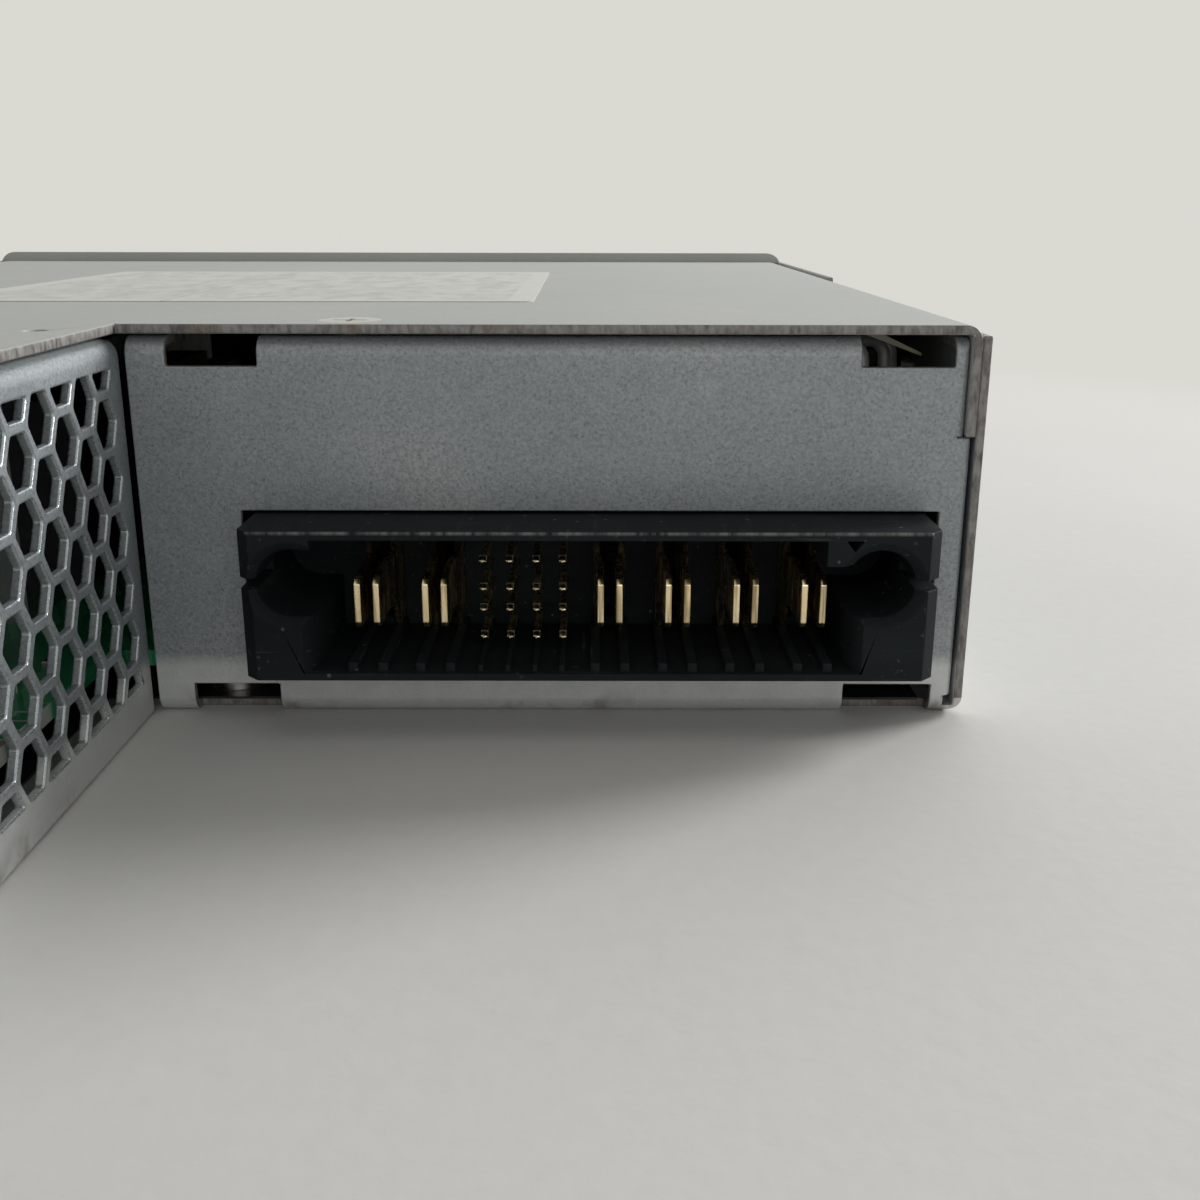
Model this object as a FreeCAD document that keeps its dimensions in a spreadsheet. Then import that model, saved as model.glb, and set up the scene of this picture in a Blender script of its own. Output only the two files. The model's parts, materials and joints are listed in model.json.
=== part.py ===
"""Hot swap server power supply: a wide, low supply whose case is L-shaped in plan.

Frame: +Z up, the underside at Z = 0, the output connector faces -Y, the handle faces +Y, and the
origin is the middle of the underside of the whole part.  All sizes are millimetres.

Sizes that can be set by themselves live in the spreadsheet "Sizes".  Positions along Y are written
from the outer face of the connector wall, and move() carries every piece into the frame above.
"""
import FreeCAD, Part

import math
import os

import Sketcher

DRIVING_SIZES = [
    ("case_width", 156.0, "outside width of the case"),
    ("case_height", 38.5, "underside to the top of the cover"),
    ("body_depth", 147.0, "connector wall to the outer face of the front panel"),
    ("leg_depth", 58.0, "how far the perforated leg runs past the connector wall"),
    ("leg_width", 75.0, "outside width of the leg"),
    ("sheet", 0.9, "thickness of every folded sheet"),
    ("bend_radius", 1.8, "outside radius of a fold"),
    ("slip_gap", 0.1, "gap between sheets that slide over each other"),
    ("face_gap", 0.25, "gap between the connector wall and the side wall beside it"),
    ("flange_drop", 10.4, "depth of the side flanges of the cover"),
    ("rim_height", 1.7, "how far the front panel stands above the cover"),
    ("hex_width", 4.3, "perforation across its flats"),
    ("hex_row_pitch", 5.25, "perforation pitch up a column"),
    ("hex_column_pitch", 4.57, "pitch from column to column"),
    ("vent_margin", 3.6, "plain metal below and above the perforations"),
    ("board_top", 6.3, "component side of the main board"),
    ("board_thick", 1.6, "thickness of the main board"),
    ("board_clearance", 1.6, "left edge of the main board from the outside of the case"),
    ("can_radius", 12.5, "radius of the bulk capacitors"),
    ("can_length", 46.0, "length of the bulk capacitors"),
    ("shell_width", 64.6, "width of the connector shell"),
    ("shell_height", 14.3, "height of the connector shell"),
    ("shell_reach", 7.5, "how far the shell stands out of the connector wall"),
    ("shell_offset", 40.7, "middle of the shell from the middle of the case"),
    ("blade_pitch", 6.35, "pitch of the power blades"),
    ("blade_height", 5.0, "height of the free end of a power blade"),
    ("leaf_thick", 0.65, "thickness of each leaf of a power blade"),
    ("blade_thick", 2.4, "thickness of a power blade over both leaves"),
    ("blade_flare", 0.35, "how far each leaf steps out at its foot"),
    ("pin_pitch", 2.54, "pitch of the signal pins"),
    ("pin_width", 0.64, "width of a signal pin"),
    ("guide_radius", 3.2, "radius of the guide sockets"),
    ("guide_lead", 0.9, "lead-in chamfer of the guide sockets"),
    ("fan_size", 36.0, "side of the fan frames"),
    ("fan_depth", 28.0, "depth of the fan frames"),
    ("fan_wall", 1.0, "thinnest wall of a fan frame, beside its bore"),
    ("fan_screw_inset", 2.7, "screw holes of a fan from the side of its frame"),
    ("hub_radius", 9.5, "radius of the rotor hub"),
    ("shaft_radius", 1.0, "radius of the rotor shaft"),
    ("running_gap", 0.05, "radial clearance of a shaft or a pivot"),
    ("blade_gap", 0.6, "gap between the rotor and the bore"),
    ("blade_chord", 13.8, "length of a rotor blade along the air flow"),
    ("handle_reach", 26.0, "how far the handle stands out of the front panel"),
    ("handle_span", 25.0, "middle to middle of the legs of the handle"),
    ("handle_tall", 18.0, "height of the handle"),
    ("handle_thick", 4.0, "thickness of the handle"),
    ("latch_throw", 1.8, "how far the nose of the latch stands out of the side"),
    ("latch_tall", 10.0, "height of the release latch"),
    ("pivot_radius", 1.5, "radius of the pivot pin of the latch"),
    ("pivot_depth", 30.0, "pivot pin to the outer face of the front panel"),
    ("bracket_sheet", 0.9, "thickness of the latch bracket"),
    ("latch_room", 0.4, "gap between the latch and its bracket at rest"),
    ("screw_head", 3.0, "radius of a flat screw head"),
    ("screw_shank", 1.4, "radius of a cover screw"),
    ("inlet_width", 27.0, "width of the mains inlet behind its flange"),
    ("inlet_height", 19.8, "height of the mains inlet behind its flange"),
]


class Size:
    """A length that carries its value and the spreadsheet expression that gives it."""

    def __init__(self, value, text):
        self.value = float(value)
        self.text = text

    @staticmethod
    def of(thing):
        return thing if isinstance(thing, Size) else Size(thing, repr(round(float(thing), 6)))

    def join(self, other, sign, value):
        return Size(value, "(%s %s %s)" % (self.text, sign, other.text))

    def __add__(self, other):
        other = Size.of(other)
        return self.join(other, "+", self.value + other.value)

    def __radd__(self, other):
        return Size.of(other) + self

    def __sub__(self, other):
        other = Size.of(other)
        return self.join(other, "-", self.value - other.value)

    def __rsub__(self, other):
        return Size.of(other) - self

    def __mul__(self, other):
        other = Size.of(other)
        return self.join(other, "*", self.value * other.value)

    def __rmul__(self, other):
        return Size.of(other) * self

    def __truediv__(self, other):
        other = Size.of(other)
        return self.join(other, "/", self.value / other.value)

    def __neg__(self):
        return Size(-self.value, "(0 - %s)" % self.text)


doc = FreeCAD.newDocument("PowerSupply")
sheet_object = doc.addObject("Spreadsheet::Sheet", "Sizes")
for row, (alias, number, _) in enumerate(DRIVING_SIZES, start=1):
    sheet_object.set("A%d" % row, str(number))
    sheet_object.setAlias("A%d" % row, alias)
doc.recompute()
S = {alias: Size(sheet_object.get(alias), "Sizes." + alias) for alias, _, _ in DRIVING_SIZES}

# ---------------------------------------------------------------- places that several pieces share
SHEET = S["sheet"]
SIDE = S["case_width"] / 2
TOP = S["case_height"]
FRONT = S["body_depth"]
LEG_END = -S["leg_depth"]
CORNER = S["leg_width"] - SIDE
FACE_LEFT = CORNER + 0.5
COVER_UNDER = TOP - SHEET
WALL_TOP = COVER_UNDER - S["slip_gap"]
FOLD_TOP = WALL_TOP - 0.2
FLANGE_LOW = TOP - S["flange_drop"]
COVER_SIDE = SIDE - SHEET - S["slip_gap"] / 2
PANEL_BACK = FRONT - SHEET
BOARD = S["board_top"]
SHELL_X = S["shell_offset"]
SHELL_LEFT = SHELL_X - S["shell_width"] / 2
SHELL_RIGHT = SHELL_X + S["shell_width"] / 2
SHELL_TOP = BOARD + S["shell_height"]
SHELL_BACK = Size.of(12.0)
CAVITY_BACK = SHELL_BACK - 4
TOP_SCREW_X = SHELL_LEFT + 9.4
TOP_SCREW_Y = Size.of(4.5)
SIDE_SCREW_PLACES = (Size.of(24), FRONT - 35)
MOVE_X = -S["latch_throw"] / 2
MOVE_Y = (S["leg_depth"] - FRONT - S["handle_reach"]) / 2
STANDOFF_PLACES = [(-SIDE + 7, LEG_END + 7), (CORNER - 10, LEG_END + 7), (-SIDE + 7, FRONT - 97),
                   (-SIDE + 7, FRONT - 39), (-5, FRONT - 39), (SIDE - 9, FRONT - 47), (SIDE - 9, FRONT - 95),
                   (SHELL_LEFT - 4.4, 6)]
LATCH_X = SIDE - SHEET - S["bracket_sheet"] - S["latch_room"] - 2.6
LATCH_Y = FRONT - S["pivot_depth"]
MIDDLE_Z = TOP / 2
LATCH_LOW = MIDDLE_Z - S["latch_tall"] / 2 - 2
FAN_LEFT_X = -SIDE + SHEET + S["slip_gap"] + SHEET + S["fan_size"] / 2
FAN_RIGHT_X = FAN_LEFT_X + S["fan_size"] + 0.8
FAN_BACK = PANEL_BACK - S["fan_depth"]
FAN_BORE = S["fan_size"] / 2 - S["fan_wall"]
FAN_SCREW_STEP = S["fan_size"] / 2 - S["fan_screw_inset"]
FAN_SCREW_STEPS = [(FAN_SCREW_STEP * dx, FAN_SCREW_STEP * dz) for dx in (-1, 1) for dz in (-1, 1)]
FAN_Z = MIDDLE_Z
INLET_X = FAN_RIGHT_X + S["fan_size"] / 2 + 18
INLET_Z = MIDDLE_Z
LIGHT_X = INLET_X + 18.2
HANDLE_X = LIGHT_X + 4.6 + S["handle_span"] / 2
LEG_LEFT = -SIDE + S["board_clearance"]
CAN_LEFT_X = LEG_LEFT + S["can_radius"] + 1.4
CAN_RIGHT_X = CAN_LEFT_X + S["can_radius"] * 2 + 1
CAN_Z = BOARD + S["can_radius"] + 0.1
LEG_SPARE = S["leg_width"] - 52.8
SINK_X = CORNER - 4.8 - LEG_SPARE * 11.2 / 22.2
CHOKE_X = SHELL_X + 21.4
CHOKE_Y = SHELL_BACK + 9.2
LINE_X = -SIDE + 16.5 + LEG_SPARE * 7.5 / 22.2
REAR = FRONT - 147


# ---------------------------------------------------------------- small tools for the feature tree
def body_at(label, x=0, y=0, z=0):
    """A new body whose own origin stands at x, y, z of the assembly."""
    body = doc.addObject("PartDesign::Body", label)
    body.Label = label
    move(body, x, y, z)
    FINISHED.append(body)
    return body


def move(thing, x=0, y=0, z=0):
    """Bind the placement of a piece, from connector-wall coordinates to the part's frame."""
    thing.setExpression("Placement.Base.x", (Size.of(x) + MOVE_X).text)
    thing.setExpression("Placement.Base.y", (Size.of(y) + MOVE_Y).text)
    thing.setExpression("Placement.Base.z", Size.of(z).text)


def sketch_on(body, role, offset=0):
    """An empty sketch on one of the body's origin planes, raised along its normal by offset."""
    sketch = body.newObject("Sketcher::SketchObject", "Sketch")
    plane = [item for item in body.Origin.OriginFeatures if item.Role == role][0]
    sketch.AttachmentSupport = [(plane, "")]
    sketch.MapMode = "FlatFace"
    sketch.setExpression("AttachmentOffset.Base.z", Size.of(offset).text)
    return sketch


def pin_down(sketch, kind, geometry, point, size):
    """Tie one point of the sketch to its origin along one direction."""
    size = Size.of(size)
    index = sketch.addConstraint(Sketcher.Constraint(kind, -1, 1, geometry, point, size.value))
    sketch.setExpression("Constraints[%d]" % index, size.text)


def outline(sketch, points):
    """A closed outline through points, each corner tied to the sizes that place it."""
    first = sketch.GeometryCount
    corners = [FreeCAD.Vector(Size.of(x).value, Size.of(y).value, 0) for x, y in points]
    count = len(points)
    sketch.addGeometry([Part.LineSegment(corners[i], corners[(i + 1) % count]) for i in range(count)])
    for i in range(count):
        following = first + (i + 1) % count
        sketch.addConstraint(Sketcher.Constraint("Coincident", first + i, 2, following, 1))
    for i, (x, y) in enumerate(points):
        pin_down(sketch, "DistanceX", first + i, 1, x)
        pin_down(sketch, "DistanceY", first + i, 1, y)


def rectangle(sketch, left, low, right, high):
    """A rectangle between two corners."""
    outline(sketch, [(left, low), (right, low), (right, high), (left, high)])


def circle(sketch, x, y, radius):
    """A circle tied by its centre and its radius."""
    x, y, radius = Size.of(x), Size.of(y), Size.of(radius)
    centre = FreeCAD.Vector(x.value, y.value, 0)
    index = sketch.addGeometry(Part.Circle(centre, FreeCAD.Vector(0, 0, 1), radius.value))
    pin_down(sketch, "DistanceX", index, 3, x)
    pin_down(sketch, "DistanceY", index, 3, y)
    round_index = sketch.addConstraint(Sketcher.Constraint("Radius", index, radius.value))
    sketch.setExpression("Constraints[%d]" % round_index, radius.text)


def pad(body, sketch, length, backwards=False):
    """Raise a sketch into a solid, along the normal of its plane or against it."""
    feature = body.newObject("PartDesign::Pad", "Pad")
    feature.Profile = sketch
    feature.setExpression("Length", Size.of(length).text)
    feature.Reversed = backwards
    return feature


def pocket(body, sketch, length, backwards=False):
    """Cut a sketch into the solid, against the normal of its plane or along it."""
    feature = body.newObject("PartDesign::Pocket", "Pocket")
    feature.Profile = sketch
    feature.setExpression("Length", Size.of(length).text)
    feature.Reversed = backwards
    return feature


def repeat(body, features, sketch, axis, pitch, count):
    """Repeat features along one axis of a sketch."""
    pattern = body.newObject("PartDesign::LinearPattern", "Pattern")
    pattern.Originals = features
    pattern.Direction = (sketch, [axis])
    pattern.setExpression("Length", (Size.of(pitch) * (count - 1)).text)
    pattern.Occurrences = count
    body.Tip = pattern
    return pattern


def edges_where(shape, test):
    """Names of the straight or round edges whose middle point passes a test."""
    names = []
    for number, edge in enumerate(shape.Edges, start=1):
        middle = edge.valueAt((edge.FirstParameter + edge.LastParameter) / 2)
        if test(edge, middle):
            names.append("Edge%d" % number)
    return names


def runs_along(edge, axis):
    """Whether a straight edge is parallel to axis 0, 1 or 2."""
    if edge.Curve.TypeId != "Part::GeomLine":
        return False
    return abs(abs(edge.Curve.Direction[axis]) - 1) < 1e-6


def near(a, b):
    """Whether a coordinate stands at a size."""
    return abs(a - Size.of(b).value) < 1e-3


def round_edges(body, base, radius, test, chamfer=False):
    """Fillet or chamfer the edges of a feature that pass a test."""
    doc.recompute()
    kind = "PartDesign::Chamfer" if chamfer else "PartDesign::Fillet"
    feature = body.newObject(kind, "Edge")
    feature.Base = (base, edges_where(base.Shape, test))
    feature.setExpression("Size" if chamfer else "Radius", Size.of(radius).text)
    return feature


def cylinder(x, y, z, radius, height, axis=(0, 0, 1)):
    """A cylinder from its base centre along an axis."""
    thing = doc.addObject("Part::Cylinder", "Cylinder")
    thing.setExpression("Radius", Size.of(radius).text)
    thing.setExpression("Height", Size.of(height).text)
    thing.Placement.Rotation = FreeCAD.Rotation(FreeCAD.Vector(0, 0, 1), FreeCAD.Vector(*axis))
    place(thing, x, y, z)
    return thing


def cone(x, y, z, low_radius, high_radius, height, axis=(0, 0, 1)):
    """A cone frustum from its base centre along an axis."""
    thing = doc.addObject("Part::Cone", "Cone")
    thing.setExpression("Radius1", Size.of(low_radius).text)
    thing.setExpression("Radius2", Size.of(high_radius).text)
    thing.setExpression("Height", Size.of(height).text)
    thing.Placement.Rotation = FreeCAD.Rotation(FreeCAD.Vector(0, 0, 1), FreeCAD.Vector(*axis))
    place(thing, x, y, z)
    return thing


def block(left, front, low, right, back, high):
    """A box between two corners."""
    thing = doc.addObject("Part::Box", "Box")
    thing.setExpression("Length", (Size.of(right) - left).text)
    thing.setExpression("Width", (Size.of(back) - front).text)
    thing.setExpression("Height", (Size.of(high) - low).text)
    place(thing, left, front, low)
    return thing


def place(thing, x, y, z):
    """Bind the placement of one ingredient of a piece."""
    thing.setExpression("Placement.Base.x", Size.of(x).text)
    thing.setExpression("Placement.Base.y", Size.of(y).text)
    thing.setExpression("Placement.Base.z", Size.of(z).text)


def fused(things):
    """Several overlapping ingredients as one solid."""
    thing = doc.addObject("Part::MultiFuse", "Fused")
    thing.Shapes = things
    thing.Refine = True
    return thing


def cut(base, tool):
    """One ingredient less another."""
    thing = doc.addObject("Part::Cut", "Cut")
    thing.Base = base
    thing.Tool = tool
    thing.Refine = True
    return thing


def grouped(things):
    """Separate solids kept side by side in one piece."""
    thing = doc.addObject("Part::Compound", "Group")
    thing.Links = things
    return thing


def finish(label, thing):
    """Name a piece and carry it into the part's frame."""
    if thing.TypeId in ("Part::Box", "Part::Cylinder"):
        thing = grouped([thing])
    thing.Label = label
    move(thing)
    FINISHED.append(thing)
    return thing


FINISHED = []


# ---------------------------------------------------------------- case
def base_tray():
    """Floor, both outer walls and the connector wall, folded from one sheet."""
    body = body_at("base_tray")
    floor = sketch_on(body, "XY_Plane")
    outline(floor, [(-SIDE, LEG_END + SHEET), (CORNER - SHEET, LEG_END + SHEET), (CORNER - SHEET, 2.5),
                    (FACE_LEFT, 2.5), (FACE_LEFT, 0), (SIDE, 0), (SIDE, PANEL_BACK), (-SIDE, PANEL_BACK)])
    pad(body, floor, SHEET)
    step = FRONT - 61
    for left, start in ((-SIDE, LEG_END + SHEET), (SIDE - SHEET, Size.of(0))):
        wall = sketch_on(body, "YZ_Plane", left)
        outline(wall, [(start, 0), (PANEL_BACK, 0), (PANEL_BACK, TOP), (step, TOP), (step, WALL_TOP),
                       (start, WALL_TOP)])
        pad(body, wall, SHEET)
    wall_inside = SIDE - SHEET
    beside_flange = wall_inside - SHEET - S["slip_gap"]
    beside_wall = wall_inside - S["face_gap"]
    relief = SIDE - 1.9
    notch = FLANGE_LOW - S["slip_gap"]
    face = sketch_on(body, "XZ_Plane")
    outline(face, [(FACE_LEFT, 0), (SIDE, 0), (SIDE, WALL_TOP), (wall_inside, WALL_TOP), (wall_inside, notch),
                   (beside_flange, notch), (beside_flange, FOLD_TOP), (FACE_LEFT, FOLD_TOP)])
    pad(body, face, SHEET, backwards=True)
    for edge, low, high in ((beside_wall, SHEET + 1.1, notch), (beside_flange, notch, FOLD_TOP)):
        side_fold = sketch_on(body, "XY_Plane", low)
        rectangle(side_fold, edge - SHEET, SHEET, edge, 9)
        pad(body, side_fold, high - low)
    top_fold = sketch_on(body, "XY_Plane", FOLD_TOP - SHEET)
    rectangle(top_fold, FACE_LEFT, SHEET, beside_flange - SHEET, 7)
    solid = pad(body, top_fold, SHEET)

    def fold(edge, at):
        along_side = runs_along(edge, 1) and near(abs(at.x), SIDE) and near(at.z, 0)
        along_face = runs_along(edge, 0) and near(at.y, 0) and (near(at.z, 0) or near(at.z, FOLD_TOP))
        return along_side or along_face

    round_edges(body, solid, S["bend_radius"], fold)
    parting = sketch_on(body, "XZ_Plane", 1)
    outline(parting, [(relief, SHEET), (wall_inside, SHEET), (wall_inside, notch), (beside_wall, notch),
                      (beside_wall, SHEET + 1.1), (relief, SHEET + 1.1)])
    pocket(body, parting, SHEET + 1.2)
    for edge, low, high in ((beside_wall, SHEET + 1.1, notch), (beside_flange, notch, TOP)):
        bend = sketch_on(body, "XY_Plane", low)
        corner_scrap(bend, edge, SHEET)
        pocket(body, bend, high - low, backwards=True)
    cut_outs = sketch_on(body, "XZ_Plane", 1)
    rectangle(cut_outs, SHELL_LEFT - 1.2, BOARD - 0.3, SHELL_RIGHT + 1.2, SHELL_TOP + 0.26)
    pocket(body, cut_outs, SHEET + 1.1)
    slots = ((SHELL_LEFT - 7.2, SHELL_LEFT + 1.3), (SHELL_RIGHT - 7.0, SHELL_RIGHT + 1.7))
    for low, high, depth in ((Size.of(-1), 3.2, 3.2), (FOLD_TOP - 2.7, TOP, 9)):
        keyholes = sketch_on(body, "XZ_Plane", 1)
        for left, right in slots:
            rectangle(keyholes, left, low, right, high)
        pocket(body, keyholes, depth)
    window = sketch_on(body, "YZ_Plane", SIDE - SHEET * 2)
    rectangle(window, LATCH_Y + 9, LATCH_LOW - 1, LATCH_Y + 20, LATCH_LOW + S["latch_tall"] + 1)
    pocket(body, window, SHEET * 4, backwards=True)
    for y in SIDE_SCREW_PLACES:
        for side in (-1, 1):
            countersink(body, SIDE * side, y, FLANGE_LOW + 4, (-side, 0, 0))
    top_screw = sketch_on(body, "XY_Plane", TOP)
    circle(top_screw, TOP_SCREW_X, TOP_SCREW_Y, S["screw_shank"])
    pocket(body, top_screw, 4)
    return body


def corner_scrap(sketch, x, radius):
    """What a round bend leaves out of the square corner at x, on the sketch's X axis."""
    x, radius = Size.of(x), Size.of(radius)
    corners = [FreeCAD.Vector((x - radius).value, 0, 0), FreeCAD.Vector(x.value, 0, 0),
               FreeCAD.Vector(x.value, radius.value, 0)]
    circle_of_bend = Part.Circle(FreeCAD.Vector((x - radius).value, radius.value, 0), FreeCAD.Vector(0, 0, 1),
                                 radius.value)
    front = sketch.addGeometry(Part.LineSegment(corners[0], corners[1]))
    side = sketch.addGeometry(Part.LineSegment(corners[1], corners[2]))
    bend = sketch.addGeometry(Part.ArcOfCircle(circle_of_bend, -math.pi / 2, 0))
    for first, point, second, other in ((front, 2, side, 1), (side, 2, bend, 2), (bend, 1, front, 1)):
        sketch.addConstraint(Sketcher.Constraint("Coincident", first, point, second, other))
    for line, point, line_x, line_y in ((front, 1, x - radius, 0), (side, 1, x, 0), (side, 2, x, radius)):
        pin_down(sketch, "DistanceX", line, point, line_x)
        pin_down(sketch, "DistanceY", line, point, line_y)
    index = sketch.addConstraint(Sketcher.Constraint("Radius", bend, radius.value))
    sketch.setExpression("Constraints[%d]" % index, radius.text)


def countersink(body, x, y, z, axis):
    """Cut the seat of a flat screw head through one sheet, from the surface inward."""
    sink = body.newObject("PartDesign::SubtractiveCone", "Sink")
    sink.setExpression("Radius1", S["screw_head"].text)
    sink.setExpression("Radius2", S["screw_shank"].text)
    sink.setExpression("Height", SHEET.text)
    sink.Placement.Rotation = FreeCAD.Rotation(FreeCAD.Vector(0, 0, 1), FreeCAD.Vector(*axis))
    place(sink, x, y, z)


def hexagon(across, x, y):
    """Corners of a hexagon with flat top and bottom."""
    half = across / 2
    corner = across / math.sqrt(3)
    return [(x - corner, y), (x - corner / 2, y - half), (x + corner / 2, y - half),
            (x + corner, y), (x + corner / 2, y + half), (x - corner / 2, y + half)]


def perforated_wall(label, length, columns, first, fold_start, fold_end):
    """A folded wall, standing on the XZ plane of its body, with staggered hexagonal perforations.

    The wall runs along +X, its outer face is Y = 0, and its top fold lies under the cover, cut back
    at both ends by fold_start and fold_end.
    """
    body = body_at(label)
    profile = sketch_on(body, "YZ_Plane")
    outline(profile, [(0, 0), (SHEET, 0), (SHEET, FOLD_TOP - SHEET), (7, FOLD_TOP - SHEET), (7, FOLD_TOP),
                      (0, FOLD_TOP)])
    solid = pad(body, profile, length)

    def top_fold(edge, at):
        return runs_along(edge, 0) and near(at.y, 0) and near(at.z, FOLD_TOP)

    solid = round_edges(body, solid, S["bend_radius"], top_fold)

    def foot(edge, at):
        return runs_along(edge, 0) and near(at.y, 0) and near(at.z, 0)

    round_edges(body, solid, SHEET - 0.2, foot)
    ends = sketch_on(body, "XY_Plane", TOP)
    for start, stop in ((Size.of(-1), fold_start), (length - fold_end, length + 1)):
        rectangle(ends, start, SHEET, stop, 8)
    pocket(body, ends, TOP - FOLD_TOP + SHEET * 2)
    across, pitch = S["hex_width"], S["hex_row_pitch"]
    low = S["vent_margin"]
    high = low + pitch * 6
    middle = (low + high) / 2
    full = sketch_on(body, "XZ_Plane", 1)
    for step in range(6):
        outline(full, hexagon(across, first + S["hex_column_pitch"], middle + pitch * (step - 2.5)))
    odd = pocket(body, full, SHEET + 1.2)
    repeat(body, [odd], full, "H_Axis", S["hex_column_pitch"] * 2, columns // 2)
    cropped = sketch_on(body, "XZ_Plane", 1)
    for step in range(5):
        outline(cropped, hexagon(across, first, middle + pitch * (step - 2)))
    corner = across / math.sqrt(3)
    for side in (-1, 1):
        near_edge = middle + side * (pitch * 3 - across / 2)
        far_edge = middle + side * (pitch * 3 - 0.5)
        slant = (across / 2 - 0.5) / math.sqrt(3)
        outline(cropped, [(first - corner / 2, near_edge), (first + corner / 2, near_edge),
                          (first + corner / 2 + slant, far_edge), (first - corner / 2 - slant, far_edge)])
    even = pocket(body, cropped, SHEET + 1.2)
    repeat(body, [even], cropped, "H_Axis", S["hex_column_pitch"] * 2, columns - columns // 2)
    return body


def vent_panel():
    """The perforated wall of the leg that faces the recess."""
    length = S["leg_depth"] - SHEET
    body = perforated_wall("vent_panel", length, 11, length - 4.55 - S["hex_column_pitch"] * 10,
                           Size.of(0.5), Size.of(0.5))
    move(body, CORNER, LEG_END + SHEET, 0)
    turn(body, 90)
    return body


def end_grille():
    """The perforated wall that closes the leg."""
    length = S["leg_width"] - S["slip_gap"] / 2
    body = perforated_wall("end_grille", length, 15, length / 2 - S["hex_column_pitch"] * 7,
                           SHEET * 2 + 0.2, Size.of(7.2))
    move(body, -SIDE + S["slip_gap"] / 2, LEG_END, 0)
    return body


def turn(body, degrees, axis=(0, 0, 1)):
    """Turn a piece about its own origin."""
    body.Placement.Rotation = FreeCAD.Rotation(FreeCAD.Vector(*axis), degrees)


def top_cover():
    """The L-shaped lid with its two side flanges."""
    body = body_at("top_cover")
    lid = sketch_on(body, "XY_Plane", COVER_UNDER)
    outline(lid, [(-COVER_SIDE, LEG_END), (CORNER, LEG_END), (CORNER, -0.2), (COVER_SIDE, -0.2),
                  (COVER_SIDE, PANEL_BACK), (-COVER_SIDE, PANEL_BACK)])
    pad(body, lid, SHEET)
    flanges = sketch_on(body, "XY_Plane", FLANGE_LOW)
    rectangle(flanges, -COVER_SIDE, LEG_END + SHEET + 0.1, -COVER_SIDE + SHEET, PANEL_BACK)
    rectangle(flanges, COVER_SIDE - SHEET, -0.2, COVER_SIDE, PANEL_BACK)
    solid = pad(body, flanges, TOP - FLANGE_LOW)

    def side_fold(edge, at):
        return runs_along(edge, 1) and near(abs(at.x), COVER_SIDE) and near(at.z, TOP)

    round_edges(body, solid, S["bend_radius"] - 0.2, side_fold)
    hole = sketch_on(body, "XY_Plane", TOP + 1)
    circle(hole, CORNER - 4.3, -7.3, 1.0)
    pocket(body, hole, SHEET + 1.5)
    countersink(body, TOP_SCREW_X, TOP_SCREW_Y, TOP, (0, 0, -1))
    side_holes = sketch_on(body, "YZ_Plane", -SIDE - 1)
    for y in SIDE_SCREW_PLACES:
        circle(side_holes, y, FLANGE_LOW + 4, S["screw_shank"])
    pocket(body, side_holes, S["case_width"] + 2, backwards=True)
    return body


def flat_screw(x, y, z, axis, length):
    """A flat-headed screw whose head is flush with the surface at x, y, z; the axis points inward."""
    head = cone(x, y, z, S["screw_head"], S["screw_shank"], SHEET, axis)
    shank = cylinder(x, y, z, S["screw_shank"], length, axis)
    return cut(fused([head, shank]), cross_recess(x, y, z, axis))


def cross_recess(x, y, z, axis):
    """The crossed slots of a driver recess, cut into a head that faces against the axis."""
    reach, half, deep = 1.6, 0.25, 0.7
    middle = [Size.of(value) for value in (x, y, z)]
    along = [index for index in range(3) if axis[index]][0]
    slots = []
    for long_way in [index for index in range(3) if index != along]:
        spread = [half, half, half]
        spread[along] = deep
        spread[long_way] = reach
        low = [middle[index] - spread[index] for index in range(3)]
        high = [middle[index] + spread[index] for index in range(3)]
        slots.append(block(low[0], low[1], low[2], high[0], high[1], high[2]))
    return fused(slots)


def cover_screws():
    """Flat-headed screws: one on top above the connector, two in each side."""
    screws = [flat_screw(TOP_SCREW_X, TOP_SCREW_Y, TOP, (0, 0, -1), 2.6)]
    for y in SIDE_SCREW_PLACES:
        for side in (-1, 1):
            screws.append(flat_screw(SIDE * side, y, FLANGE_LOW + 4, (-side, 0, 0), 3.2))
    return finish("cover_screws", grouped(screws))


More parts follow.
